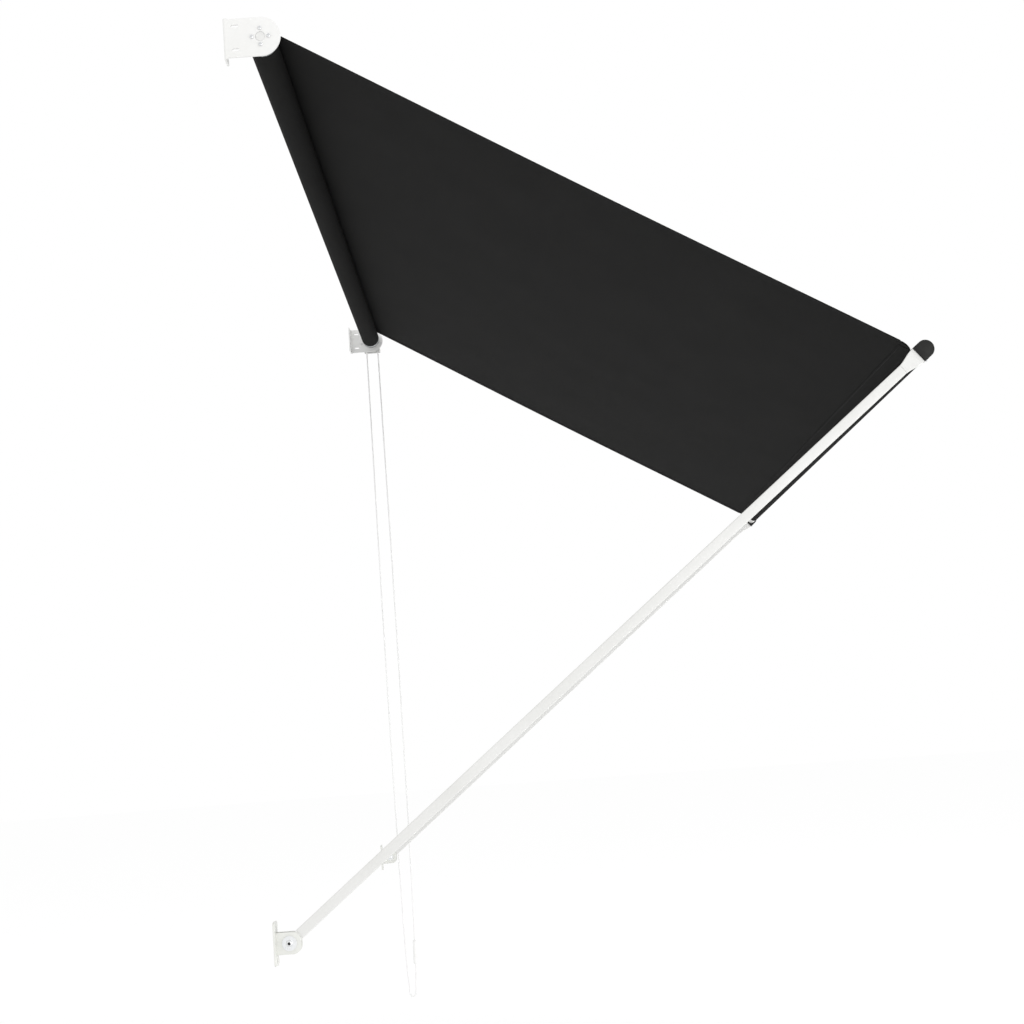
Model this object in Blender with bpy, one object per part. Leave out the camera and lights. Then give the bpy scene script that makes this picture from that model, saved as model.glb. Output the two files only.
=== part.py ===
"""A drop-arm window awning, let out, with its wall brackets and without the wall.

X runs along the roller, the wall is the plane Y = 0, the awning reaches out along -Y and +Z is up.
Height zero is the roller's axis, and X = 0 is the middle of the cloth. Sizes are in metres.
Seen from indoors, left is the -X end and right is the +X end, where the cord hangs.
"""

import math

import bmesh
import bpy
from mathutils import Vector

for old in list(bpy.data.objects):
    bpy.data.objects.remove(old, do_unlink=True)

# Places of the main pieces
TOTAL_WIDTH = 2.000
AXIS_OUT = 0.066
PIVOT_OUT = 0.026
PIVOT_DROP = 1.590
ARM_LENGTH = 1.500
ARM_RISE_DEG = 38.9

# Gaps: between pieces that bear on each other, and round what turns
SEAT = 0.0003
RUNNING = 0.0004
END_PLAY = 0.0010

# Folded brackets
SHEET = 0.003
BEND_OUTER = 0.004
CHEEK_RADIUS = 0.036
WALL_PLATE_WIDTH = 0.030
WALL_PLATE_HALF = 0.0375
CHEEK_STEP = 0.007
CHEEK_SLOT_LENGTH = 0.013
CHEEK_SLOT_WIDTH = 0.0035
CHEEK_SLOT_OUT = 0.021
CHEEK_SLOT_UP = 0.022
WALL_SLOT_LENGTH = 0.012
WALL_SLOT_WIDTH = 0.0065
WALL_SLOT_UP = 0.027

# Bearings and the screws of the brackets
BEARING_RADIUS = 0.021
BEARING_FLANGE = 0.004
SPIGOT_RADIUS = 0.0085
IDLE_PIN_RADIUS = 0.006
IDLE_PIN_LENGTH = 0.018
SCREW_RADIUS = 0.002
SCREW_HEAD_RADIUS = 0.0037
SCREW_HEAD_HEIGHT = 0.0024
BEARING_SCREW_CIRCLE = 0.015
BEARING_SCREW_BITE = 0.003

# Roller
ROLLER_RADIUS = 0.025
ROLLER_WALL = 0.0012
PLUG_FLANGE = 0.002
PLUG_LENGTH = 0.030
PLUG_RIBS = 8
PLUG_GROOVE = 0.003
SHAFT_FLATS = 0.009
SHAFT_BITE = 0.026

# Cloth
CLOTH = 0.0006
CLOTH_SIDE_GAP = 0.001
TURNS_LEFT = 2
CLOTH_SIDES = 48

# Front tube and its sleeve of cloth
FRONT_RADIUS = 0.012
FRONT_WALL = 0.0015
SLEEVE_WALL = 0.0007
CORNER_WIDTH = 0.045
CORNER_LENGTH = 0.030
CORNER_STEPS = 12

# Knuckles on the ends of the front tube
KNUCKLE_INSET = 0.010
KNUCKLE_WIDTH = 0.017
KNUCKLE_RADIUS = 0.016
KNUCKLE_MOUTH = 0.0157
KNUCKLE_EDGE = 0.0012
KNUCKLE_GRIP = 0.006

# Arms: a tube with a foot at the pivot and a head in the knuckle
ARM_HEIGHT = 0.018
ARM_THICK = 0.011
ARM_CORNER = 0.002
ARM_WALL = 0.0014
FOOT_SHOULDER = 0.022
SPIGOT_LENGTH = 0.030
HEAD_LENGTH = 0.037
HEAD_HALF_MOUTH = 0.0155
TONGUE_THICK = 0.0064
TONGUE_HALF = 0.010
TONGUE_LENGTH = 0.0115
KNUCKLE_SCREW_UP = 0.006
KNUCKLE_SCREW_BITE = 0.007

# Arm brackets and their pivots
EAR_GAP = 0.012
EAR_HALF = 0.0185
EAR_OUT = 0.0455
EAR_CORNER = 0.014
ARM_PLATE_HALF_WIDTH = 0.018
ARM_PLATE_HALF = 0.037
ARM_PLATE_CORNER = 0.006
ARM_PLATE_HOLE = 0.0033
ARM_PLATE_HOLE_UP = 0.028
BOLT_RADIUS = 0.003
BOLT_HEAD_RADIUS = 0.0055
BOLT_HEAD_HEIGHT = 0.0036
BOLT_SOCKET_FLATS = 0.005
BOLT_SOCKET_DEPTH = 0.0030
BOLT_TIP = 0.002
BUSH_WALL = 0.0009
OUTER_WASHER_RADIUS = 0.0125
INNER_WASHER_RADIUS = 0.009
WASHER = 0.0012
NUT_FLATS = 0.010
NUT_HEIGHT = 0.005

# Cord drive on the right bracket's outer face, measured along X from that face
DRIVE_INNER_RADIUS = 0.0225
DRIVE_WALL = 0.0023
DRIVE_DROP = 0.034
WHEEL_HUB_START = 0.0035
WHEEL_HUB_RADIUS = 0.011
WHEEL_RADIUS = 0.0195
WHEEL_RIM_WIDTH = 0.012
WHEEL_FLANGE = 0.0015
WHEEL_HUB_LENGTH = 0.021
GROOVE_RADIUS = 0.0151
GROOVE_HALF = 0.0022
CORD_PLANE = 0.0140
SPRING_CUP_RADIUS = 0.0095
SPRING_CUP_WALL = 0.003
SPRING_CUP_DEPTH = 0.008
BOSS_RADIUS = 0.007
SPRING_WIRE = 0.0006
SPRING_TURNS = 5
SPRING_SIDES = 12
LUG_RADIUS = 0.005
LUG_THICK = 0.005
LUG_DROP = 0.010

# Cord
CORD_RADIUS = 0.002
JOINER_RADIUS = 0.006
JOINER_LENGTH = 0.070
JOINER_ABOVE_BOTTOM = 0.095

# Worked out from the sizes above
HALF_WIDTH = TOTAL_WIDTH / 2
SCREW_HOLE = SCREW_RADIUS + SEAT
BEARING_FACE = SHEET + SEAT + BEARING_FLANGE
PLUG_FACE = BEARING_FACE + END_PLAY
TUBE_END = PLUG_FACE + PLUG_FLANGE + SEAT
ROLL_INNER = ROLLER_RADIUS + SEAT
UNDER_LAYER = ROLL_INNER + (TURNS_LEFT - 1) * CLOTH
PANEL_LOW = UNDER_LAYER + SEAT
PANEL_MIDDLE = PANEL_LOW + CLOTH / 2
KNUCKLE_OUTER = HALF_WIDTH - KNUCKLE_INSET
KNUCKLE_INNER = KNUCKLE_OUTER - KNUCKLE_WIDTH
ARM_PLANE = (KNUCKLE_OUTER + KNUCKLE_INNER) / 2
CLOTH_HALF_WIDTH = KNUCKLE_INNER - CLOTH_SIDE_GAP
SLEEVE_HALF_WIDTH = CLOTH_HALF_WIDTH - CORNER_WIDTH
SLEEVE_INNER = FRONT_RADIUS + SEAT
SLEEVE_OUTER = SLEEVE_INNER + SLEEVE_WALL
HEAD_TOP = ARM_LENGTH - KNUCKLE_MOUTH - SEAT
HEAD_SHOULDER = HEAD_TOP - HEAD_LENGTH
HALF_ARM = ARM_HEIGHT / 2
HALF_THICK = ARM_THICK / 2
BUSH_INNER = BOLT_RADIUS + SEAT
BUSH_OUTER = BUSH_INNER + BUSH_WALL
DRIVE_RADIUS = DRIVE_INNER_RADIUS + DRIVE_WALL
WHEEL_END = WHEEL_HUB_START + WHEEL_HUB_LENGTH
DRIVE_FLOOR = WHEEL_END + END_PLAY
DRIVE_DEPTH = DRIVE_FLOOR + DRIVE_WALL
LUG_REACH = DRIVE_RADIUS + SCREW_HEAD_RADIUS + 2 * SEAT
CORD_ON_WHEEL = GROOVE_RADIUS + SEAT + CORD_RADIUS
SHAFT_BORE = SHAFT_FLATS / math.sqrt(3) + RUNNING

# The awning's side view: where the front tube is, and the line of the cloth
ARM_RISE = math.radians(ARM_RISE_DEG)
BAR_OUT = PIVOT_OUT + ARM_LENGTH * math.cos(ARM_RISE)
BAR_DROP = PIVOT_DROP - ARM_LENGTH * math.sin(ARM_RISE)
REACH = math.hypot(BAR_OUT - AXIS_OUT, BAR_DROP)
CLOTH_FALL = math.atan2(BAR_DROP, BAR_OUT - AXIS_OUT) + math.asin(PANEL_MIDDLE / REACH)
CLOTH_LINE = math.sqrt(REACH**2 - PANEL_MIDDLE**2)


# Finishes: colour, roughness, metallic
FINISHES = {
    "white_steel": ((0.86, 0.86, 0.84), 0.42, 0.0),
    "white_tube": ((0.84, 0.84, 0.82), 0.38, 0.0),
    "white_plastic": ((0.85, 0.85, 0.83), 0.5, 0.0),
    "dark_plastic": ((0.035, 0.035, 0.037), 0.55, 0.0),
    "zinc": ((0.62, 0.63, 0.64), 0.35, 0.9),
    "galvanised": ((0.55, 0.56, 0.57), 0.45, 0.9),
    "cloth": ((0.02, 0.02, 0.019), 0.9, 0.0),
    "cord": ((0.82, 0.82, 0.8), 0.8, 0.0),
}


def finish_of(name, finish):
    """A material of the piece's own, with the colour of its finish."""
    colour, roughness, metallic = FINISHES[finish]
    material = bpy.data.materials.new(name + "_" + finish)
    material.use_nodes = True
    shader = material.node_tree.nodes["Principled BSDF"]
    shader.inputs["Base Color"].default_value = (*colour, 1.0)
    shader.inputs["Roughness"].default_value = roughness
    shader.inputs["Metallic"].default_value = metallic
    return material


def empty(name, location, turn_x=0.0):
    """An axis or a corner that pieces are placed from."""
    frame = bpy.data.objects.new(name, None)
    frame.location = location
    frame.rotation_euler = (turn_x, 0.0, 0.0)
    bpy.context.collection.objects.link(frame)
    return frame


def add(name, bm, finish, parent, location=(0.0, 0.0, 0.0), side=1):
    """Turns a bmesh into a named piece. Side -1 mirrors it for the left end."""
    if side < 0:
        bmesh.ops.scale(bm, vec=(-1.0, 1.0, 1.0), verts=bm.verts)
        location = (-location[0], location[1], location[2])
    bmesh.ops.recalc_face_normals(bm, faces=bm.faces)
    mesh = bpy.data.meshes.new(name)
    bm.to_mesh(mesh)
    bm.free()
    mesh.materials.append(finish_of(name, finish))
    mesh.shade_smooth()
    mesh.set_sharp_from_angle(angle=math.radians(30))
    piece = bpy.data.objects.new(name, mesh)
    piece.location = location
    piece.parent = parent
    bpy.context.collection.objects.link(piece)
    return piece


def combine(piece, operation, bm, side=1):
    """Cuts, joins or keeps part of a piece with a hidden tool that is placed from the piece."""
    if side < 0:
        bmesh.ops.scale(bm, vec=(-1.0, 1.0, 1.0), verts=bm.verts)
    bmesh.ops.recalc_face_normals(bm, faces=bm.faces)
    name = piece.name + "_tool_" + str(len(piece.modifiers) + 1)
    mesh = bpy.data.meshes.new(name)
    bm.to_mesh(mesh)
    bm.free()
    tool = bpy.data.objects.new(name, mesh)
    tool.parent = piece
    tool.hide_render = True
    tool.display_type = "WIRE"
    bpy.context.collection.objects.link(tool)
    modifier = piece.modifiers.new(operation.title(), "BOOLEAN")
    modifier.operation = operation
    modifier.solver = "EXACT"
    modifier.object = tool


def arc(centre, radius, start_deg, end_deg, steps):
    """Points of an arc, with both ends."""
    points = []
    for i in range(steps + 1):
        a = math.radians(start_deg + (end_deg - start_deg) * i / steps)
        points.append((centre[0] + radius * math.cos(a), centre[1] + radius * math.sin(a)))
    return points


def circle(centre, radius, sides, start_deg=0.0):
    """Points of a closed circle or, with few sides, of a regular polygon."""
    return arc(centre, radius, start_deg, start_deg + 360.0, sides)[:-1]


def rounded_box(half_a, half_b, corner, steps=4):
    """A rectangle's outline with round corners, centred."""
    a = half_a - corner
    b = half_b - corner
    outline = arc((a, b), corner, 0, 90, steps)
    outline += arc((-a, b), corner, 90, 180, steps)
    outline += arc((-a, -b), corner, 180, 270, steps)
    outline += arc((a, -b), corner, 270, 360, steps)
    return outline


def slot(centre, length, width, along_first, steps=6):
    """A slotted hole's outline: round ends, with its length along the first or the second axis."""
    r = width / 2
    run = length / 2 - r
    if along_first:
        outline = arc((centre[0] + run, centre[1]), r, -90, 90, steps)
        outline += arc((centre[0] - run, centre[1]), r, 90, 270, steps)
        return outline
    outline = arc((centre[0], centre[1] + run), r, 0, 180, steps)
    outline += arc((centre[0], centre[1] - run), r, 180, 360, steps)
    return outline


def place(axis, along, point):
    """A flat outline's point in space, for an outline that is extruded along that axis."""
    if axis == "X":
        return (along, point[0], point[1])
    if axis == "Y":
        return (point[0], along, point[1])
    return (point[0], point[1], along)


def extrude(bm, outline, axis, low, high):
    """Adds a solid with this outline, from low to high along the axis."""
    base = bm.faces.new([bm.verts.new(place(axis, low, p)) for p in outline])
    grown = bmesh.ops.extrude_face_region(bm, geom=[base])["geom"]
    moved = [v for v in grown if isinstance(v, bmesh.types.BMVert)]
    bmesh.ops.translate(bm, vec=place(axis, high - low, (0.0, 0.0)), verts=moved)
    return bm


def prism(outline, axis, low, high):
    """A solid of one outline."""
    return extrude(bmesh.new(), outline, axis, low, high)


def turned(profile, sides=32, closed=False):
    """A solid turned about X from points (x, radius). An open profile starts and ends on the axis."""
    bm = bmesh.new()
    verts = [bm.verts.new((x, r, 0.0)) for x, r in profile]
    pairs = list(zip(verts, verts[1:]))
    if closed:
        pairs.append((verts[-1], verts[0]))
    edges = [bm.edges.new(pair) for pair in pairs]
    bmesh.ops.spin(
        bm,
        geom=verts + edges,
        cent=(0.0, 0.0, 0.0),
        axis=(1.0, 0.0, 0.0),
        angle=math.tau,
        steps=sides,
        use_merge=False,
        use_duplicate=False,
    )
    bmesh.ops.remove_doubles(bm, verts=bm.verts, dist=0.00001)
    return bm


def ring(low, high, inner, outer, sides=32):
    """A plain tube or washer about X."""
    return turned([(low, inner), (low, outer), (high, outer), (high, inner)], sides, closed=True)


def hexagon(flats):
    """A hexagon's outline, from its size across flats, with a corner up."""
    return circle((0.0, 0.0), flats / math.sqrt(3), 6, start_deg=90)


def pan_screw(shank):
    """A screw about X: its head stands on x = 0 towards +X and its shank runs to -X."""
    dome = SCREW_HEAD_HEIGHT
    profile = [
        (-shank, 0.0),
        (-shank, SCREW_RADIUS),
        (0.0, SCREW_RADIUS),
        (0.0, SCREW_HEAD_RADIUS),
        (dome * 0.45, SCREW_HEAD_RADIUS),
        (dome * 0.9, SCREW_HEAD_RADIUS * 0.7),
        (dome, 0.0),
    ]
    return turned(profile, 12)


def diamond(radius):
    """Four points round an axis, as (y, z)."""
    return circle((0.0, 0.0), radius, 4)


# Frames that the pieces are placed from: the wall, the roller's axis, the cloth's line and the arms
wall_frame = empty("wall_frame", (0.0, 0.0, 0.0))
roller_axis = empty("roller_axis", (0.0, -AXIS_OUT, 0.0))
cloth_line = empty("cloth_line", (0.0, -AXIS_OUT, 0.0), CLOTH_FALL)
arm_pivot = empty("arm_pivot", (0.0, -PIVOT_OUT, -PIVOT_DROP), math.pi / 2 - ARM_RISE)


# Roller brackets: one folded sheet each, a plate on the wall and a cheek with a round front
def lug_places():
    """Where the drive's lugs and screws are, as (y, z) from the roller's axis."""
    return [(0.0, LUG_REACH), (LUG_REACH, -LUG_DROP), (-LUG_REACH, -LUG_DROP)]


def roller_bracket(side, name):
    """Placed at the cheek's outer face, on the wall, with the roller's axis at height zero."""
    far = AXIS_OUT + CHEEK_RADIUS + SHEET
    fold = [(-WALL_PLATE_WIDTH, 0.0)]
    fold += arc((-BEND_OUTER, -BEND_OUTER), BEND_OUTER, 90, 0, 5)
    fold += [(0.0, -far), (-SHEET, -far)]
    fold += arc((-BEND_OUTER, -BEND_OUTER), BEND_OUTER - SHEET, 0, 90, 3)
    fold += [(-WALL_PLATE_WIDTH, -SHEET)]
    bm = prism(fold, "Z", -WALL_PLATE_HALF, WALL_PLATE_HALF)
    piece = add(name, bm, "white_steel", wall_frame, (HALF_WIDTH, 0.0, 0.0), side)
    shape = [(SHEET, -WALL_PLATE_HALF), (SHEET, WALL_PLATE_HALF), (-CHEEK_STEP, WALL_PLATE_HALF)]
    shape += [(-CHEEK_STEP, CHEEK_RADIUS)]
    shape += arc((-AXIS_OUT, 0.0), CHEEK_RADIUS, 90, 270, 24)
    shape += [(-CHEEK_STEP, -CHEEK_RADIUS), (-CHEEK_STEP, -WALL_PLATE_HALF)]
    combine(piece, "INTERSECT", prism(shape, "X", -WALL_PLATE_WIDTH - SHEET, SHEET), side)
    holes = bmesh.new()
    for up in (-1, 1):
        vent = slot((-CHEEK_SLOT_OUT, up * CHEEK_SLOT_UP), CHEEK_SLOT_LENGTH, CHEEK_SLOT_WIDTH, True)
        extrude(holes, vent, "X", -2 * SHEET, SHEET)
        middle = -(WALL_PLATE_WIDTH + SHEET) / 2
        fixing = slot((middle, up * WALL_SLOT_UP), WALL_SLOT_LENGTH, WALL_SLOT_WIDTH, False)
        extrude(holes, fixing, "Y", -2 * SHEET, SHEET)
    extrude(holes, circle((-AXIS_OUT, 0.0), SPIGOT_RADIUS + SEAT, 24), "X", -2 * SHEET, SHEET)
    drilled = diamond(BEARING_SCREW_CIRCLE)
    if side > 0:
        drilled += lug_places()
    for y, z in drilled:
        extrude(holes, circle((y - AXIS_OUT, z), SCREW_HOLE, 12), "X", -2 * SHEET, SHEET)
    combine(piece, "DIFFERENCE", holes, side)


roller_bracket(-1, "left_roller_bracket")
roller_bracket(1, "right_roller_bracket")


# Bearings: a flange inside each cheek. The left one has a pin, the right one lets the shaft through
def bearing(side, name):
    """Placed on the roller's axis at the cheek's outer face."""
    inside = -SHEET - SEAT
    if side < 0:
        tip = -BEARING_FACE - IDLE_PIN_LENGTH
        profile = [
            (tip, 0.0),
            (tip, IDLE_PIN_RADIUS - SHEET / 3),
            (tip + SHEET / 3, IDLE_PIN_RADIUS),
            (-BEARING_FACE, IDLE_PIN_RADIUS),
            (-BEARING_FACE, BEARING_RADIUS),
            (inside, BEARING_RADIUS),
            (inside, SPIGOT_RADIUS),
            (0.0, SPIGOT_RADIUS),
            (0.0, 0.0),
        ]
        bm = turned(profile, 32)
    else:
        profile = [
            (-BEARING_FACE, SHAFT_BORE),
            (-BEARING_FACE, BEARING_RADIUS),
            (inside, BEARING_RADIUS),
            (inside, SPIGOT_RADIUS),
            (0.0, SPIGOT_RADIUS),
            (0.0, SHAFT_BORE),
        ]
        bm = turned(profile, 32, closed=True)
    piece = add(name, bm, "white_plastic", wall_frame, (HALF_WIDTH, -AXIS_OUT, 0.0), side)
    holes = bmesh.new()
    for point in diamond(BEARING_SCREW_CIRCLE):
        outline = circle(point, SCREW_HOLE, 12)
        extrude(holes, outline, "X", inside - BEARING_SCREW_BITE - SEAT, inside + SHEET)
    combine(piece, "DIFFERENCE", holes, side)


def bearing_screws(side, name):
    """Four screws from outside, through the cheek into the bearing."""
    for number, (y, z) in enumerate(diamond(BEARING_SCREW_CIRCLE), 1):
        bm = pan_screw(2 * SEAT + SHEET + BEARING_SCREW_BITE)
        place_at = (HALF_WIDTH + SEAT, y - AXIS_OUT, z)
        add(name + "_" + str(number), bm, "zinc", wall_frame, place_at, side)


bearing(-1, "left_bearing")
bearing(1, "right_bearing")
bearing_screws(-1, "left_bearing_screw")
bearing_screws(1, "right_bearing_screw")


# Roller: a steel tube with a ribbed plug in each end
def roller_tube():
    """The tube that the cloth winds on."""
    end = HALF_WIDTH - TUBE_END
    bm = ring(-end, end, ROLLER_RADIUS - ROLLER_WALL, ROLLER_RADIUS, CLOTH_SIDES)
    add("roller_tube", bm, "galvanised", roller_axis)


def plug_section():
    """The ribbed part's outline: ribs that touch the tube and grooves between them."""
    tip = ROLLER_RADIUS - ROLLER_WALL - SEAT
    steps = PLUG_RIBS * 4
    outline = []
    for i in range(steps):
        radius = tip if i % 4 < 2 else tip - PLUG_GROOVE
        outline += circle((0.0, 0.0), radius, steps)[i : i + 1]
    return outline


def roller_plug(side, name):
    """Placed on the roller's axis at the plug's outer face."""
    bm = prism(circle((0.0, 0.0), ROLLER_RADIUS, CLOTH_SIDES), "X", -PLUG_FLANGE, 0.0)
    piece = add(name, bm, "dark_plastic", roller_axis, (HALF_WIDTH - PLUG_FACE, 0.0, 0.0), side)
    combine(piece, "UNION", prism(plug_section(), "X", -PLUG_FLANGE - PLUG_LENGTH, -PLUG_FLANGE / 2), side)
    bore = circle((0.0, 0.0), IDLE_PIN_RADIUS + RUNNING, 24)
    if side > 0:
        bore = hexagon(SHAFT_FLATS + 2 * SEAT)
    tool = prism(bore, "X", -PLUG_FLANGE - PLUG_LENGTH - SHEET, SHEET)
    combine(piece, "DIFFERENCE", tool, side)


def cloth_on_roller():
    """The turns that stay on the roller: a spiral that steps down by one layer where the cloth leaves."""
    bm = bmesh.new()
    outer = []
    inner = []
    for i in range(CLOTH_SIDES + 1):
        a = math.pi / 2 - math.tau * i / CLOTH_SIDES
        layers = TURNS_LEFT - i / CLOTH_SIDES
        r = ROLL_INNER + layers * CLOTH
        outer.append(bm.verts.new((-CLOTH_HALF_WIDTH, r * math.cos(a), r * math.sin(a))))
        if i < CLOTH_SIDES:
            point = (-CLOTH_HALF_WIDTH, ROLL_INNER * math.cos(a), ROLL_INNER * math.sin(a))
            inner.append(bm.verts.new(point))
    inner.append(inner[0])
    faces = [bm.faces.new([outer[0], outer[1], inner[1], inner[0], outer[-1]])]
    for i in range(1, CLOTH_SIDES):
        faces.append(bm.faces.new([outer[i], outer[i + 1], inner[i + 1], inner[i]]))
    grown = bmesh.ops.extrude_face_region(bm, geom=faces)["geom"]
    moved = [v for v in grown if isinstance(v, bmesh.types.BMVert)]
    bmesh.ops.translate(bm, vec=(2 * CLOTH_HALF_WIDTH, 0.0, 0.0), verts=moved)
    piece = add("fabric_roll", bm, "cloth", roller_axis)
    piece.rotation_euler = (CLOTH_FALL, 0.0, 0.0)


def drive_shaft():
    """The hexagon bar from the plug, through the bearing, to the cord wheel."""
    inner_end = -PLUG_FACE - SHAFT_BITE
    outer_end = WHEEL_END - SPRING_CUP_DEPTH - END_PLAY / 2
    bm = prism(hexagon(SHAFT_FLATS), "X", inner_end, outer_end)
    add("drive_shaft", bm, "zinc", roller_axis, (HALF_WIDTH, 0.0, 0.0))


roller_tube()
roller_plug(-1, "left_roller_plug")
roller_plug(1, "right_roller_plug")
cloth_on_roller()
drive_shaft()


# Cord wheel: a grooved rim on a hub, with a cup for the brake's spring
def cord_wheel():
    """Placed on the roller's axis at the right cheek's outer face."""
    rim_low = CORD_PLANE - WHEEL_RIM_WIDTH / 2
    rim_high = CORD_PLANE + WHEEL_RIM_WIDTH / 2
    cup = WHEEL_END - SPRING_CUP_DEPTH
    profile = [
        (WHEEL_HUB_START, 0.0),
        (WHEEL_HUB_START, WHEEL_HUB_RADIUS),
        (rim_low, WHEEL_HUB_RADIUS),
        (rim_low, WHEEL_RADIUS),
        (rim_low + WHEEL_FLANGE, WHEEL_RADIUS),
        (CORD_PLANE - GROOVE_HALF, GROOVE_RADIUS),
        (CORD_PLANE + GROOVE_HALF, GROOVE_RADIUS),
        (rim_high - WHEEL_FLANGE, WHEEL_RADIUS),
        (rim_high, WHEEL_RADIUS),
        (rim_high, SPRING_CUP_RADIUS + SPRING_CUP_WALL),
        (WHEEL_END, SPRING_CUP_RADIUS + SPRING_CUP_WALL),
        (WHEEL_END, SPRING_CUP_RADIUS),
        (cup, SPRING_CUP_RADIUS),
        (cup, 0.0),
    ]
    piece = add("cord_wheel", turned(profile, 28), "dark_plastic", roller_axis, (HALF_WIDTH, 0.0, 0.0))
    bore = prism(hexagon(SHAFT_FLATS + 2 * SEAT), "X", 0.0, WHEEL_END)
    combine(piece, "DIFFERENCE", bore)


def arch(radius, drop):
    """A round top with straight sides down to an open end."""
    outline = arc((0.0, 0.0), radius, 0, 180, 24)
    outline += [(-radius, -drop), (radius, -drop)]
    return outline


def drive_housing():
    """The moulded cover round the wheel, open at the bottom for the cord, with a boss for the spring."""
    bm = prism(arch(DRIVE_RADIUS, DRIVE_DROP), "X", SEAT, DRIVE_DEPTH)
    piece = add("drive_housing", bm, "white_plastic", wall_frame, (HALF_WIDTH, -AXIS_OUT, 0.0))
    edge = piece.modifiers.new("Round edge", "BEVEL")
    edge.width = DRIVE_WALL / 2
    edge.segments = 2
    edge.limit_method = "ANGLE"
    edge.angle_limit = math.radians(40)
    for point in lug_places():
        combine(piece, "UNION", prism(circle(point, LUG_RADIUS, 16), "X", SEAT, LUG_THICK))
    space = prism(arch(DRIVE_INNER_RADIUS, 2 * DRIVE_DROP), "X", -SHEET, DRIVE_FLOOR)
    combine(piece, "DIFFERENCE", space)
    holes = bmesh.new()
    for point in lug_places():
        extrude(holes, circle(point, SCREW_HOLE, 12), "X", -SHEET, 2 * LUG_THICK)
    combine(piece, "DIFFERENCE", holes)
    boss_end = WHEEL_END - SPRING_CUP_DEPTH + END_PLAY / 2
    boss = prism(circle((0.0, 0.0), BOSS_RADIUS, 24), "X", boss_end, DRIVE_FLOOR + DRIVE_WALL / 2)
    combine(piece, "UNION", boss)


def tube_along(name, path, radius, roundness, finish, location):
    """A wire or a cord: a round bar of this radius along a path of points."""
    curve = bpy.data.curves.new(name, "CURVE")
    curve.dimensions = "3D"
    curve.bevel_depth = radius
    curve.bevel_resolution = roundness
    curve.use_fill_caps = True
    spline = curve.splines.new("POLY")
    spline.points.add(len(path) - 1)
    for point, at in zip(spline.points, path):
        point.co = (*at, 1.0)
    curve.materials.append(finish_of(name, finish))
    piece = bpy.data.objects.new(name, curve)
    piece.location = location
    piece.parent = wall_frame
    bpy.context.collection.objects.link(piece)


def wrap_spring():
    """The brake: a spring wound on the housing's boss, inside the wheel's cup."""
    low = WHEEL_END - SPRING_CUP_DEPTH + END_PLAY + SPRING_WIRE
    high = DRIVE_FLOOR - SEAT - SPRING_WIRE
    radius = BOSS_RADIUS + SEAT + SPRING_WIRE
    steps = SPRING_TURNS * SPRING_SIDES
    path = []
    for i in range(steps + 1):
        a = math.tau * i / SPRING_SIDES
        x = low + (high - low) * i / steps
        path.append((x, radius * math.cos(a), radius * math.sin(a)))
    tube_along("wrap_spring", path, SPRING_WIRE, 1, "zinc", (HALF_WIDTH, -AXIS_OUT, 0.0))


def drive_screws():
    """Three screws through the lugs into the cheek."""
    for number, (y, z) in enumerate(lug_places(), 1):
        bm = pan_screw(SEAT + LUG_THICK + SHEET)
        place_at = (HALF_WIDTH + LUG_THICK + SEAT, y - AXIS_OUT, z)
        add("drive_screw_" + str(number), bm, "zinc", wall_frame, place_at)


cord_wheel()
drive_housing()
wrap_spring()
drive_screws()


# Cord: a loop over the wheel. Each strand's points are (out from the wheel's axis, share of its height)
CORD_DROP = 2.0095
CORD_LOOP_RADIUS = 0.0085
CORD_LOOP_STEPS = 6
CORD_STEPS = 3
CORD_WRAP_STEPS = 14
FRONT_STRAND = [
    (CORD_ON_WHEEL, 0.0),
    (CORD_ON_WHEEL, 0.025),
    (0.0179, 0.125),
    (0.0195, 0.375),
    (0.0193, 0.625),
    (0.0181, 0.76),
    (0.0162, 0.86),
    (0.0141, 0.93),
    (0.0122, 0.969),
    (0.0099, 0.987),
]
BACK_STRAND = [
    (CORD_ON_WHEEL, 0.0),
    (CORD_ON_WHEEL, 0.025),
    (0.0177, 0.125),
    (0.0191, 0.375),
    (0.0190, 0.625),
    (0.0179, 0.76),
    (0.0165, 0.86),
    (0.0147, 0.93),
    (0.0125, 0.969),
    (0.0100, 0.987),
]


def strand(points):
    """A strand's points as (out, down), from shares of the height over the round bottom."""
    return [(out, share * (CORD_DROP - CORD_LOOP_RADIUS)) for out, share in points]


def cord_route():
    """The strands, and the round bottom between them."""
    centre = (0.0, CORD_DROP - CORD_LOOP_RADIUS)
    bottom = arc(centre, CORD_LOOP_RADIUS, 0, 180, CORD_LOOP_STEPS)
    back = [(-out, down) for out, down in reversed(strand(BACK_STRAND))]
    return strand(FRONT_STRAND) + bottom + back


def smooth(route, steps):
    """A smooth curve through every point of a route: a cubic whose slopes come from the neighbours."""
    points = [Vector(p) for p in route]
    spans = [(b - a).length for a, b in zip(points, points[1:])]
    slopes = [(points[1] - points[0]) / spans[0]]
    for i in range(1, len(points) - 1):
        before = (points[i] - points[i - 1]) / spans[i - 1]
        after = (points[i + 1] - points[i]) / spans[i]
        slopes.append((before * spans[i] + after * spans[i - 1]) / (spans[i] + spans[i - 1]))
    slopes.append((points[-1] - points[-2]) / spans[-1])
    curve = [points[0]]
    for i, span in enumerate(spans):
        for k in range(1, steps + 1):
            t = k / steps
            start = points[i] * (1 + 2 * t) * (1 - t) ** 2 + slopes[i] * span * t * (1 - t) ** 2
            end = points[i + 1] * t**2 * (3 - 2 * t) + slopes[i + 1] * span * t**2 * (t - 1)
            curve.append(start + end)
    return curve


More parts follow.
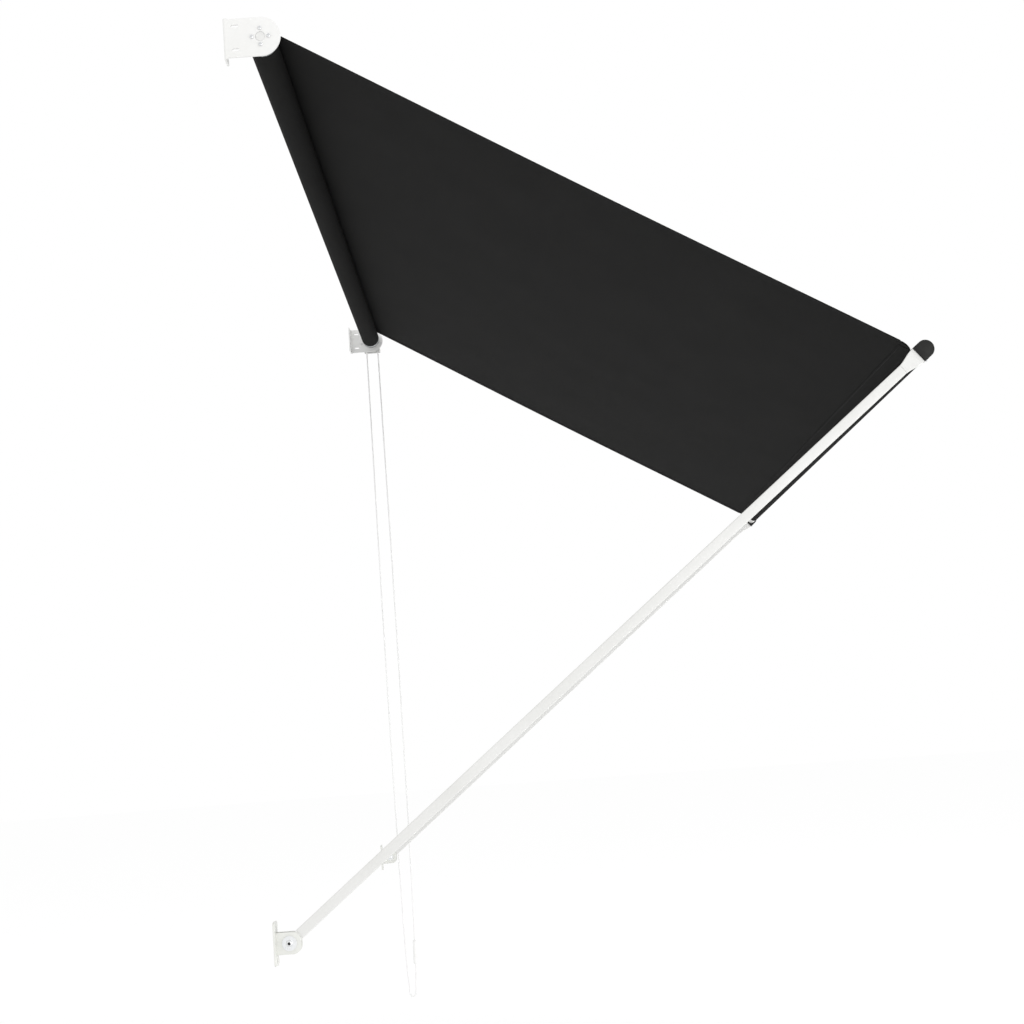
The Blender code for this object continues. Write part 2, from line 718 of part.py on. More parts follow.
def cord_loop():
    """The cord, from the front of the wheel down, round and up to the back of the wheel."""
    route = [(HALF_WIDTH + CORD_PLANE, -AXIS_OUT - out, -down) for out, down in cord_route()]
    path = smooth(route, CORD_STEPS)
    tube_along("cord_loop", path, CORD_RADIUS, 2, "cord", (0.0, 0.0, 0.0))


def cord_over_wheel():
    """The half turn of cord in the wheel's groove, between the two hanging strands."""
    half_turn = arc((0.0, 0.0), CORD_ON_WHEEL, 0, 180, CORD_WRAP_STEPS)
    path = [(CORD_PLANE, y, z + 2 * SEAT) for y, z in half_turn]
    tube_along("cord_over_wheel", path, CORD_RADIUS, 2, "cord", (HALF_WIDTH, -AXIS_OUT, 0.0))


def front_strand_at(down):
    """How far out the front strand hangs at this depth."""
    path = smooth(strand(FRONT_STRAND), CORD_STEPS)
    for above, below in zip(path, path[1:]):
        if above.y <= down <= below.y:
            return above.lerp(below, (down - above.y) / (below.y - above.y)).x


def cord_joiner():
    """The moulded sleeve that joins the cord's ends, on the front strand."""
    half = JOINER_LENGTH / 2
    bore = CORD_RADIUS + SEAT
    neck = bore + CORD_RADIUS / 2
    profile = [(-half, bore), (-half, neck)]
    profile += [(-half * 0.93, JOINER_RADIUS * 0.8), (-half * 0.82, JOINER_RADIUS)]
    profile += [(half * 0.82, JOINER_RADIUS), (half * 0.93, JOINER_RADIUS * 0.8)]
    profile += [(half, neck), (half, bore)]
    low = CORD_DROP - JOINER_ABOVE_BOTTOM
    high = low - JOINER_LENGTH
    out = (front_strand_at(high) + front_strand_at(low)) / 2
    lean = math.atan2(front_strand_at(low) - front_strand_at(high), JOINER_LENGTH)
    bm = turned(profile, 20, closed=True)
    piece = add("cord_joiner", bm, "white_plastic", wall_frame)
    piece.location = (HALF_WIDTH + CORD_PLANE, -AXIS_OUT - out, -(low + high) / 2)
    piece.rotation_mode = "ZYX"
    piece.rotation_euler = (-lean, math.pi / 2, 0.0)


cord_loop()
cord_over_wheel()
cord_joiner()


# Cloth between the roller and the front tube: flat and taut, with its front corners cut round
def fabric_panel():
    """Placed from the roller's axis, with the cloth running along -Y of its frame."""
    front = CORNER_LENGTH - (CLOTH_LINE - SLEEVE_OUTER - SEAT)
    outline = [(-CLOTH_HALF_WIDTH, -SEAT)]
    for x, y in arc((0.0, 0.0), 1.0, 180, 270, CORNER_STEPS):
        outline.append((x * CORNER_WIDTH - SLEEVE_HALF_WIDTH, y * CORNER_LENGTH + front))
    for x, y in arc((0.0, 0.0), 1.0, 270, 360, CORNER_STEPS):
        outline.append((x * CORNER_WIDTH + SLEEVE_HALF_WIDTH, y * CORNER_LENGTH + front))
    outline.append((CLOTH_HALF_WIDTH, -SEAT))
    bm = prism(outline, "Z", PANEL_LOW, PANEL_LOW + CLOTH)
    add("fabric_panel", bm, "cloth", cloth_line)


fabric_panel()


# Front tube, and the sleeve of cloth sewn round it
def front_tube():
    """Runs from knuckle to knuckle."""
    end = KNUCKLE_INNER + KNUCKLE_GRIP - SEAT
    bm = ring(-end, end, FRONT_RADIUS - FRONT_WALL, FRONT_RADIUS, 32)
    add("front_tube", bm, "white_tube", arm_pivot, (0.0, 0.0, ARM_LENGTH))


def front_sleeve():
    """The cloth's hem, closed round the front tube between the round corners."""
    bm = ring(-SLEEVE_HALF_WIDTH, SLEEVE_HALF_WIDTH, SLEEVE_INNER, SLEEVE_OUTER, 32)
    add("front_hem", bm, "cloth", arm_pivot, (0.0, 0.0, ARM_LENGTH))


front_tube()
front_sleeve()


# Arms. Each is placed in the arm's own frame: Z runs from the pivot to the front tube
def arm_tube(side, name):
    """A rounded box tube between the foot's shoulder and the head's."""
    low = FOOT_SHOULDER + SEAT
    high = HEAD_SHOULDER - SEAT
    bm = prism(rounded_box(HALF_THICK, HALF_ARM, ARM_CORNER), "Z", low, high)
    piece = add(name, bm, "white_tube", arm_pivot, (ARM_PLANE, 0.0, 0.0), side)
    inside = rounded_box(HALF_THICK - ARM_WALL, HALF_ARM - ARM_WALL, ARM_CORNER - ARM_WALL / 2, 3)
    combine(piece, "DIFFERENCE", prism(inside, "Z", low - SHEET, high + SHEET), side)


def spigot(low, high):
    """The part of an end piece that goes into the arm's tube."""
    fit = ARM_WALL + SEAT
    return prism(rounded_box(HALF_THICK - fit, HALF_ARM - fit, ARM_CORNER / 2, 2), "Z", low, high)


def arm_foot(side, name):
    """The eye at the pivot, with its spigot up the tube."""
    outline = arc((0.0, 0.0), HALF_ARM, 180, 360, 16)
    outline += [(HALF_ARM, FOOT_SHOULDER), (-HALF_ARM, FOOT_SHOULDER)]
    bm = prism(outline, "X", -HALF_THICK, HALF_THICK)
    piece = add(name, bm, "white_plastic", arm_pivot, (ARM_PLANE, 0.0, 0.0), side)
    combine(piece, "UNION", spigot(FOOT_SHOULDER - SHEET, FOOT_SHOULDER + SPIGOT_LENGTH), side)
    bore = prism(circle((0.0, 0.0), BUSH_OUTER + SEAT, 24), "X", -ARM_THICK, ARM_THICK)
    combine(piece, "DIFFERENCE", bore, side)


def pivot_bush(side, name):
    """The bush that the arm turns on, held between the ears."""
    half = EAR_GAP / 2 - SEAT
    bm = ring(-half, half, BUSH_INNER, BUSH_OUTER, 24)
    add(name, bm, "zinc", arm_pivot, (ARM_PLANE, 0.0, 0.0), side)


def head_outline():
    """The head widens in a soft curve from the tube to the knuckle's mouth."""
    steps = 8
    rise = []
    for i in range(steps + 1):
        t = i / steps
        swell = t * t * (3 - 2 * t)
        y = HALF_ARM + (HEAD_HALF_MOUTH - HALF_ARM) * swell
        rise.append((y, HEAD_SHOULDER + HEAD_LENGTH * t))
    return rise + [(-y, z) for y, z in reversed(rise)]


def tongue_box():
    """The tongue's low and high face along X: flush with the head's outer face."""
    return HALF_THICK - TONGUE_THICK, HALF_THICK


def arm_head(side, name):
    """The tapered end, with a spigot down the tube and a tongue in the knuckle."""
    bm = prism(head_outline(), "X", -HALF_THICK, HALF_THICK)
    piece = add(name, bm, "white_plastic", arm_pivot, (ARM_PLANE, 0.0, 0.0), side)
    combine(piece, "UNION", spigot(HEAD_SHOULDER - SPIGOT_LENGTH, HEAD_SHOULDER + SHEET), side)
    low, high = tongue_box()
    top = HEAD_TOP + TONGUE_LENGTH
    outline = [(-TONGUE_HALF, HEAD_TOP - SHEET), (TONGUE_HALF, HEAD_TOP - SHEET)]
    outline += [(TONGUE_HALF, top), (-TONGUE_HALF, top)]
    combine(piece, "UNION", prism(outline, "X", low, high), side)
    screw_x = (low + high) / 2
    hole = circle((screw_x, HEAD_TOP + KNUCKLE_SCREW_UP), SCREW_HOLE, 12)
    deep = -TONGUE_HALF + KNUCKLE_SCREW_BITE + SEAT
    combine(piece, "DIFFERENCE", prism(hole, "Y", -2 * TONGUE_HALF, deep), side)


def knuckle(side, name):
    """The dark end piece: a round back and flat flanks, with a bore for the tube and a pocket for the tongue."""
    outline = arc((0.0, ARM_LENGTH), KNUCKLE_RADIUS, 0, 180, 20)
    outline += [(-KNUCKLE_RADIUS, HEAD_TOP + SEAT), (KNUCKLE_RADIUS, HEAD_TOP + SEAT)]
    half = KNUCKLE_WIDTH / 2
    bm = prism(outline, "X", -half, half)
    piece = add(name, bm, "dark_plastic", arm_pivot, (ARM_PLANE, 0.0, 0.0), side)
    edge = piece.modifiers.new("Round edge", "BEVEL")
    edge.width = KNUCKLE_EDGE
    edge.segments = 2
    edge.limit_method = "ANGLE"
    edge.angle_limit = math.radians(40)
    cuts = bmesh.new()
    seat_bore = circle((0.0, ARM_LENGTH), FRONT_RADIUS + SEAT, 32)
    extrude(cuts, seat_bore, "X", -half - SHEET, -half + KNUCKLE_GRIP)
    low, high = tongue_box()
    y = TONGUE_HALF + SEAT
    floor = HEAD_TOP + TONGUE_LENGTH + SEAT
    pocket = [(-y, HEAD_TOP - SHEET), (y, HEAD_TOP - SHEET), (y, floor), (-y, floor)]
    extrude(cuts, pocket, "X", low - SEAT, high + SEAT)
    combine(piece, "DIFFERENCE", cuts, side)
    screw_x = (low + high) / 2
    hole = circle((screw_x, HEAD_TOP + KNUCKLE_SCREW_UP), SCREW_HOLE, 12)
    combine(piece, "DIFFERENCE", prism(hole, "Y", -2 * KNUCKLE_RADIUS, 0.0), side)


def knuckle_screw(side, name):
    """Goes in from the underside, through the knuckle's flank into the tongue."""
    shank = KNUCKLE_RADIUS + SEAT - TONGUE_HALF + KNUCKLE_SCREW_BITE
    low, high = tongue_box()
    bm = pan_screw(shank)
    at = (ARM_PLANE + (low + high) / 2, -KNUCKLE_RADIUS - SEAT, HEAD_TOP + KNUCKLE_SCREW_UP)
    piece = add(name, bm, "zinc", arm_pivot, at, side)
    piece.rotation_euler = (0.0, 0.0, -math.pi / 2)
    if side < 0:
        piece.rotation_euler = (0.0, 0.0, math.pi / 2)


for end, which in ((-1, "left"), (1, "right")):
    arm_tube(end, which + "_arm_tube")
    arm_foot(end, which + "_arm_foot")
    pivot_bush(end, which + "_pivot_bush")
    arm_head(end, which + "_arm_head")
    knuckle(end, which + "_knuckle")
    knuckle_screw(end, which + "_knuckle_screw")


# Arm brackets: a wall plate with two ears, and the pivot's bolt, washers and nut
EAR_INNER = EAR_GAP / 2
EAR_OUTER = EAR_INNER + SHEET


def arm_bracket(side, name):
    """Placed on the wall at the pivot's height, in the arm's plane: a plate with two ears welded on."""
    plate = rounded_box(ARM_PLATE_HALF_WIDTH, ARM_PLATE_HALF, ARM_PLATE_CORNER)
    bm = prism(plate, "Y", -SHEET, 0.0)
    piece = add(name, bm, "white_steel", wall_frame, (ARM_PLANE, 0.0, -PIVOT_DROP), side)
    front = EAR_OUT - EAR_CORNER
    height = EAR_HALF - EAR_CORNER
    ear = [(-SHEET / 2, EAR_HALF)]
    ear += arc((-front, height), EAR_CORNER, 90, 180, 8)
    ear += arc((-front, -height), EAR_CORNER, 180, 270, 8)
    ear += [(-SHEET / 2, -EAR_HALF)]
    combine(piece, "UNION", prism(ear, "X", EAR_INNER, EAR_OUTER), side)
    combine(piece, "UNION", prism(ear, "X", -EAR_OUTER, -EAR_INNER), side)
    holes = bmesh.new()
    pivot_hole = circle((-PIVOT_OUT, 0.0), BOLT_RADIUS + SEAT, 16)
    extrude(holes, pivot_hole, "X", -ARM_PLATE_HALF_WIDTH, ARM_PLATE_HALF_WIDTH)
    for up in (-1, 1):
        outline = circle((0.0, up * ARM_PLATE_HOLE_UP), ARM_PLATE_HOLE, 16)
        extrude(holes, outline, "Y", -2 * SHEET, SHEET)
    combine(piece, "DIFFERENCE", holes, side)


WASHER_FACE = EAR_OUTER + SEAT
NUT_FACE = WASHER_FACE + WASHER + SEAT


def pivot_bolt(side, name):
    """A button-head bolt about X, head outwards, with a hexagon socket."""
    head = NUT_FACE
    tip = -NUT_FACE - NUT_HEIGHT - BOLT_TIP
    profile = [
        (tip, 0.0),
        (tip, BOLT_RADIUS * 0.8),
        (tip + BOLT_RADIUS * 0.2, BOLT_RADIUS),
        (head, BOLT_RADIUS),
        (head, BOLT_HEAD_RADIUS),
        (head + BOLT_HEAD_HEIGHT * 0.35, BOLT_HEAD_RADIUS),
        (head + BOLT_HEAD_HEIGHT * 0.8, BOLT_HEAD_RADIUS * 0.8),
        (head + BOLT_HEAD_HEIGHT, BOLT_HEAD_RADIUS * 0.55),
        (head + BOLT_HEAD_HEIGHT, 0.0),
    ]
    at = (ARM_PLANE, -PIVOT_OUT, -PIVOT_DROP)
    piece = add(name, turned(profile, 24), "zinc", wall_frame, at, side)
    top = head + BOLT_HEAD_HEIGHT
    socket = prism(hexagon(BOLT_SOCKET_FLATS), "X", top - BOLT_SOCKET_DEPTH, top + SHEET)
    combine(piece, "DIFFERENCE", socket, side)


def washer(side, name, low, radius):
    """A flat washer on the pivot's bolt."""
    bm = ring(low, low + WASHER, BOLT_RADIUS + SEAT, radius, 24)
    add(name, bm, "zinc", wall_frame, (ARM_PLANE, -PIVOT_OUT, -PIVOT_DROP), side)


def lock_nut(side, name):
    """A hexagon nut behind the inner ear."""
    low = -NUT_FACE - NUT_HEIGHT
    bm = prism(hexagon(NUT_FLATS), "X", low, -NUT_FACE)
    piece = add(name, bm, "zinc", wall_frame, (ARM_PLANE, -PIVOT_OUT, -PIVOT_DROP), side)
    bore = circle((0.0, 0.0), BOLT_RADIUS + SEAT, 16)
    combine(piece, "DIFFERENCE", prism(bore, "X", low - SHEET, 0.0), side)


for end, which in ((-1, "left"), (1, "right")):
    arm_bracket(end, which + "_arm_bracket")
    pivot_bolt(end, which + "_pivot_bolt")
    washer(end, which + "_outer_washer", WASHER_FACE, OUTER_WASHER_RADIUS)
    washer(end, which + "_inner_washer", -WASHER_FACE - WASHER, INNER_WASHER_RADIUS)
    lock_nut(end, which + "_lock_nut")
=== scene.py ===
from math import asin, atan2, cos, hypot, pi, radians, sin, sqrt, tau

import bmesh
import bpy
from mathutils import Matrix, Quaternion, Vector


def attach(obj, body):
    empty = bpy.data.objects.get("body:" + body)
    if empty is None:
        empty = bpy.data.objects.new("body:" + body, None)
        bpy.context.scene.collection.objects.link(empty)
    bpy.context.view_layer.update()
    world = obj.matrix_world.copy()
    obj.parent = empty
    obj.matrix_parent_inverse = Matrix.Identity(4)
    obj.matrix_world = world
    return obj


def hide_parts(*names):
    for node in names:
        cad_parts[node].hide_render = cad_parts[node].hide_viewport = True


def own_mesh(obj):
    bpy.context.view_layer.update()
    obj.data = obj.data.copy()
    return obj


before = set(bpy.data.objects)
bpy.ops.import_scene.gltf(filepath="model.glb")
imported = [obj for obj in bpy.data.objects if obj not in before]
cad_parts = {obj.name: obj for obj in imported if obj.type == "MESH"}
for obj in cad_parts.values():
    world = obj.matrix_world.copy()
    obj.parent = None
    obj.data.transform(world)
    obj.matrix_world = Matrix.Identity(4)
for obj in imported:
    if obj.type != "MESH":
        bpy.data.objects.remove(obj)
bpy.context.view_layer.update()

scene = bpy.context.scene


# The studio: a plain pale floor under the awning, an even white surround and three soft lamps.
# The camera stands where the photograph was taken, beside the left end and below the cloth, with
# the picture slid up a little so that the wall's upright lines stay upright.
FLOOR_HEIGHT = -2.35
FLOOR_RADIUS = 40.0
CAMERA_AT = (-3.5435, -0.4356, -1.2874)
CAMERA_TURN = Vector((-0.0942, 0.0014, -0.0714))
CAMERA_LENS = 52.41
CAMERA_RISE = 93.5 / 1024

scene.view_settings.view_transform = "Standard"

world = bpy.data.worlds.new("white_surround")
world.use_nodes = True
world.node_tree.nodes["Background"].inputs["Color"].default_value = (1.0, 1.0, 1.0, 1.0)
scene.world = world


def shown(name, data):
    """A new object in the scene."""
    thing = bpy.data.objects.new(name, data)
    scene.collection.objects.link(thing)
    return thing


def bare_finish(name, roughness=0.5, metallic=0.0, specular=0.5):
    """A material with its shader, ready for a colour or a pattern."""
    material = bpy.data.materials.new(name)
    material.use_nodes = True
    shader = material.node_tree.nodes["Principled BSDF"]
    shader.inputs["Roughness"].default_value = roughness
    shader.inputs["Metallic"].default_value = metallic
    shader.inputs["Specular IOR Level"].default_value = specular
    return material, material.node_tree, shader


bpy.ops.mesh.primitive_circle_add(vertices=96, radius=FLOOR_RADIUS, fill_type="NGON")
floor = bpy.context.object
floor.name = "floor"
floor.location.z = FLOOR_HEIGHT
floor_paint, _, floor_shader = bare_finish("pale_floor", 0.9, specular=0.0)
floor_shader.inputs["Base Color"].default_value = (0.99, 0.99, 0.99, 1.0)
floor.data.materials.append(floor_paint)


def soft_lamp(name, at, towards, size, power):
    """A square lamp facing a point."""
    lamp = bpy.data.lights.new(name, "AREA")
    lamp.size = size
    lamp.energy = power
    holder = shown(name, lamp)
    holder.location = at
    holder.rotation_euler = (Vector(towards) - Vector(at)).to_track_quat("-Z", "Y").to_euler()


soft_lamp("side_lamp", (-11.0, -4.5, -1.2), (0.0, -0.6, -0.7), 4.0, 245.0)
soft_lamp("under_lamp", (-1.2, -5.0, -2.3), (1.0, -0.6, -1.0), 2.0, 115.0)
soft_lamp("top_lamp", (-3.0, -5.0, 6.0), (0.0, -0.6, -0.7), 3.0, 35.0)

camera = shown("camera", bpy.data.cameras.new("camera"))
camera.data.lens = CAMERA_LENS
camera.data.sensor_width = 36.0
camera.data.shift_y = CAMERA_RISE
camera.data.clip_end = 100.0
wall_to_picture = Matrix(((0, -1, 0), (0, 0, -1), (1, 0, 0)))
seen = Quaternion(CAMERA_TURN.normalized(), CAMERA_TURN.length).to_matrix() @ wall_to_picture
camera.matrix_world = (seen.transposed() @ Matrix.Diagonal((1, -1, -1))).to_4x4()
camera.location = CAMERA_AT
scene.camera = camera


# The operating cord: a limp 4 mm braid, white, that hangs from both sides of the drive's wheel
# and runs over it. It is one loop. A moulded sleeve joins its two ends on the front strand.
# The small helpers for finishes, node trees and pieces start here.
HALF_WIDTH = 1.0
AXIS_OUT = 0.066
CORD_PLANE = HALF_WIDTH + 0.014
CORD_RADIUS = 0.002
CORD_ON_WHEEL = 0.0174
CORD_LIFT = 0.0006
CORD_DROP = 2.0095
CORD_LOOP_RADIUS = 0.0085
CORD_HANG = CORD_DROP - CORD_LOOP_RADIUS
YARN_PITCH = 0.0022
# How far down each point is, as a share of the strands' height, and how far out they hang there.
STRANDS = [
    (0.0, CORD_ON_WHEEL, CORD_ON_WHEEL), (0.025, CORD_ON_WHEEL, CORD_ON_WHEEL), (0.125, 0.0179, 0.0177),
    (0.375, 0.0195, 0.0191), (0.625, 0.0193, 0.0190), (0.76, 0.0181, 0.0179), (0.86, 0.0162, 0.0165),
    (0.93, 0.0141, 0.0147), (0.969, 0.0122, 0.0125), (0.987, 0.0099, 0.0100),
]


def arc(centre, radius, start_deg, end_deg, steps, rise=None):
    """Points of an arc, with both ends. With a rise of its own it is an oval's."""
    rise = rise or radius
    turns = [radians(start_deg + (end_deg - start_deg) * i / steps) for i in range(steps + 1)]
    return [(centre[0] + radius * cos(a), centre[1] + rise * sin(a)) for a in turns]


def smooth(route, steps):
    """A smooth curve through every point of a route."""
    points = [Vector(p) for p in route]
    spans = [(b - a).length for a, b in zip(points, points[1:])]
    chords = [(b - a) / span for a, b, span in zip(points, points[1:], spans)]
    slopes = chords[:1]
    for i in range(1, len(spans)):
        slopes.append((chords[i - 1] * spans[i] + chords[i] * spans[i - 1]) / (spans[i] + spans[i - 1]))
    slopes += chords[-1:]
    curve = points[:1]
    for i, span in enumerate(spans):
        for k in range(1, steps + 1):
            t = k / steps
            start = points[i] * (1 + 2 * t) * (1 - t) ** 2 + slopes[i] * span * t * (1 - t) ** 2
            end = points[i + 1] * t**2 * (3 - 2 * t) + slopes[i + 1] * span * t**2 * (t - 1)
            curve.append(start + end)
    return curve


def feed(tree, socket, value):
    """Gives an input a value or another node's output."""
    if isinstance(value, bpy.types.NodeSocket):
        tree.links.new(value, socket)
    else:
        socket.default_value = value


NODE_FAMILIES = ("GeometryNode", "ShaderNode", "FunctionNode")


def step(tree, kind, output=0, **given):
    """Adds a node and gives one output. Names with a capital are its inputs, the others its options."""
    node = tree.nodes.new(next(f + kind for f in NODE_FAMILIES if hasattr(bpy.types, f + kind)))
    for name, value in given.items():
        if name.islower():
            setattr(node, name, value)
    for name, value in given.items():
        if not name.islower():
            feed(tree, node.inputs[name.replace("_", " ")], value)
    return node.outputs[output]


def maths(tree, operation, total, *others):
    """Sums on numbers or sockets, from left to right."""
    for other in others or [0.0]:
        node = tree.nodes.new("ShaderNodeMath")
        node.operation = operation
        feed(tree, node.inputs[0], total)
        feed(tree, node.inputs[1], other)
        total = node.outputs[0]
    return total


def noise(tree, place, scale, detail=2.0):
    """Soft clouds."""
    return step(tree, "TexNoise", Vector=place, Scale=scale, Detail=detail)


def ramp(tree, shader, value, dark, light, low=0.0, high=1.0):
    """The colour goes from dark to light while the value goes from low to high."""
    colour = step(tree, "ValToRGB", Fac=value)
    for stop, at, shade in zip(colour.node.color_ramp.elements, (low, high), (dark, light)):
        stop.position = at
        stop.color = (*shade, 1.0)
    feed(tree, shader.inputs["Base Color"], colour)


def grain(tree, shader, height, depth, strength=1.0):
    """A bump from any height."""
    bump = step(tree, "Bump", Height=height, Distance=depth, Strength=strength)
    feed(tree, shader.inputs["Normal"], bump)


def finish(name, dark, light, scale, gloss=None, fine=None, flaky=False, **base):
    """A finish that goes between two near shades in soft clouds, or in flakes, in the piece's own space.
    The gloss drifts over (low, high, scale), and a fine even grain has its (scale, depth, strength)."""
    material, tree, shader = bare_finish(name, **base)
    place = step(tree, "TexCoord", "Object")
    if flaky:
        ramp(tree, shader, step(tree, "TexVoronoi", "Color", Vector=place, Scale=scale), dark, light)
    else:
        ramp(tree, shader, noise(tree, place, scale, 3.0), dark, light, 0.3, 0.7)
    if gloss:
        ends = {"From_Min": 0.3, "From_Max": 0.7, "To_Min": gloss[0], "To_Max": gloss[1]}
        drift = step(tree, "MapRange", Value=noise(tree, place, gloss[2]), **ends)
        feed(tree, shader.inputs["Roughness"], drift)
    if fine:
        grain(tree, shader, noise(tree, place, fine[0]), *fine[1:])
    return material


def braid():
    """White yarns that cross at 45 degrees, with a soft fuzz."""
    material = finish("braided_cord", (0.87, 0.87, 0.86), (0.93, 0.93, 0.925), 900.0, roughness=0.8)
    tree = material.node_tree
    shader = tree.nodes["Principled BSDF"]
    shader.inputs["Sheen Weight"].default_value = 0.3
    place = step(tree, "TexCoord", "Object")
    x, y, z = step(tree, "SeparateXYZ", Vector=place).node.outputs
    across = maths(tree, "ADD", x, y)
    lays = [maths(tree, lay, across, z) for lay in ("ADD", "SUBTRACT")]
    yarns = [maths(tree, "SINE", maths(tree, "MULTIPLY", lay, tau / YARN_PITCH)) for lay in lays]
    grain(tree, shader, maths(tree, "MAXIMUM", *yarns), 0.00012)
    return material


def new_tree(name, lengths, **others):
    """A Geometry Nodes tree with named inputs: its lengths, others of their own kind, and a material."""
    tree = bpy.data.node_groups.new(name, "GeometryNodeTree")
    kinds = {**dict.fromkeys(lengths.split(), "Float"), **others, "Material": "Material"}
    for label, kind in kinds.items():
        socket = "NodeSocket" + kind
        tree.interface.new_socket(label.replace("_", " "), in_out="INPUT", socket_type=socket)
    tree.interface.new_socket("Geometry", in_out="OUTPUT", socket_type="NodeSocketGeometry")
    return tree, tree.nodes.new("NodeGroupInput").outputs


def end_tree(tree, given, geometry):
    """The end that all trees share: copies made real, and their material."""
    real = step(tree, "RealizeInstances", Geometry=geometry)
    painted = step(tree, "SetMaterial", Geometry=real, Material=given["Material"])
    feed(tree, tree.nodes.new("NodeGroupOutput").inputs["Geometry"], painted)
    return tree


def settle(piece):
    """Keeps what a piece's modifiers make as its plain mesh."""
    bpy.context.view_layer.update()
    shaped = piece.evaluated_get(bpy.context.evaluated_depsgraph_get())
    mesh = bpy.data.meshes.new_from_object(shaped)
    piece.modifiers.clear()
    piece.data = mesh
    return piece


def grow(name, tree, **sizes):
    """What a tree makes with these sizes, as a piece of its own."""
    piece = shown(name, bpy.data.meshes.new(name))
    modifier = piece.modifiers.new(tree.name, "NODES")
    modifier.node_group = tree
    for item in tree.interface.items_tree:
        if item.in_out == "INPUT":
            modifier[item.identifier] = sizes[item.name.lower().replace(" ", "_")]
    return settle(piece)


def fit(piece, body, slot, *replaced):
    """Hangs a finished piece on its body and hides the CAD nodes that it stands for. The slot is not used.
    """
    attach(piece, body)
    if replaced:
        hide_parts(*replaced)
    return piece


def round_bar_tree():
    """A round bar along a drawn line: rings at even steps, closed ends."""
    tree, given = new_tree("round_bar", "Radius Ring_Step", Line="Object", Sides="Int")
    line = step(tree, "ObjectInfo", "Geometry", Object=given["Line"])
    even = step(tree, "ResampleCurve", mode="LENGTH", Curve=line, Length=given["Ring Step"])
    sizes = {"Resolution": given["Sides"], "Radius": given["Radius"]}
    ring = step(tree, "CurvePrimitiveCircle", **sizes)
    bar = step(tree, "CurveToMesh", Curve=even, Profile_Curve=ring, Fill_Caps=True)
    return end_tree(tree, given, step(tree, "SetShadeSmooth", Geometry=bar, Shade_Smooth=True))


def bar_along(name, points, material, radius, sides=12, ring_step=0.003):
    """A wire or cord of this radius through these points."""
    curve = bpy.data.curves.new(name + "_line", "CURVE")
    curve.dimensions = "3D"
    spline = curve.splines.new("POLY")
    spline.points.add(len(points) - 1)
    for point, at in zip(spline.points, points):
        point.co = (*at, 1.0)
    line = shown(name + "_line", curve)
    sizes = {"radius": radius, "sides": sides, "ring_step": ring_step}
    piece = grow(name, round_bar, line=line, material=material, **sizes)
    bpy.data.objects.remove(line)
    return piece


def turned(profile, sides, closed=False):
    """A round solid about X from points (x, radius). An open profile starts and ends on the axis."""
    bm = bmesh.new()
    verts = [bm.verts.new((x, r, 0.0)) for x, r in profile]
    others = verts[1:] + verts[:1] if closed else verts[1:]
    edges = [bm.edges.new(pair) for pair in zip(verts, others)]
    around = {"cent": (0, 0, 0), "axis": (1, 0, 0), "angle": tau, "steps": sides}
    bmesh.ops.spin(bm, geom=verts + edges, use_merge=False, use_duplicate=False, **around)
    bmesh.ops.remove_doubles(bm, verts=bm.verts, dist=0.00001)
    return bm


def blank(name, bm, material, side=1):
    """A rough piece. Side -1 mirrors it for the left end."""
    if side < 0:
        bmesh.ops.scale(bm, vec=(-1.0, 1.0, 1.0), verts=bm.verts)
    bmesh.ops.recalc_face_normals(bm, faces=bm.faces)
    mesh = bpy.data.meshes.new(name)
    bm.to_mesh(mesh)
    bm.free()
    mesh.materials.append(material)
    mesh.shade_smooth()
    return shown(name, mesh)


def reshape(piece, kind, **settings):
    """Adds a modifier with these settings and keeps what it makes."""
    modifier = piece.modifiers.new(kind.title(), kind)
    for name, value in settings.items():
        setattr(modifier, name, value)
    return settle(piece)


def ease(piece, width, segments=2, sharp_deg=35.0):
    """Rounds a piece's sharp edges."""
    bevel = {"width": width, "segments": segments, "harden_normals": True}
    return reshape(piece, "BEVEL", limit_method="ANGLE", angle_limit=radians(sharp_deg), **bevel)


def dress(piece, place=Matrix(), edge=0.0, sharp_deg=35.0):
    """Eases a piece's sharp edges, or keeps them crisp, and puts it in its place."""
    piece.data.shade_smooth()
    if edge:
        ease(piece, edge)
    else:
        piece.data.set_sharp_from_angle(angle=radians(sharp_deg))
    piece.data.transform(place)
    return piece


def moved_to(x, y, z, side=1):
    """A plain move, mirrored for the left end."""
    return Matrix.Translation((x * side, y, z))


# White plastic, warm, with a fine even grain. A lighter copy of it, for the cord's sleeve, is painted light
# that makes up for the shade on the sleeve.
MOULDED = {"scale": 30.0, "gloss": (0.40, 0.52, 60.0), "fine": (2200.0, 0.00003, 0.5)}
WHITE_MOULDING = finish("white_moulding", (0.695, 0.695, 0.68), (0.735, 0.735, 0.722), **MOULDED)
MOULDING_PAINTED_LIGHT = finish("pale_moulding", (0.83, 0.83, 0.82), (0.87, 0.87, 0.862), **MOULDED)
BRAID = braid()
round_bar = round_bar_tree()

front, back = ([(row[k], row[0] * CORD_HANG) for row in STRANDS] for k in (1, 2))
loop = front + arc((0.0, CORD_HANG), CORD_LOOP_RADIUS, 0, 180, 6)
loop += [(-out, down) for out, down in reversed(back)]
cord_path = smooth([(CORD_PLANE, -AXIS_OUT - out, -down) for out, down in loop], 9)
cord = bar_along("operating_cord", cord_path, BRAID, CORD_RADIUS)
fit(cord, "wall_frame", "cord", "cord_loop")

over = [(CORD_PLANE, y - AXIS_OUT, z + CORD_LIFT) for y, z in arc((0, 0), CORD_ON_WHEEL, 0, 180, 24)]
cord_top = bar_along("cord_over_the_wheel", over, BRAID, CORD_RADIUS)
fit(cord_top, "wall_frame", "cord", "cord_over_wheel")

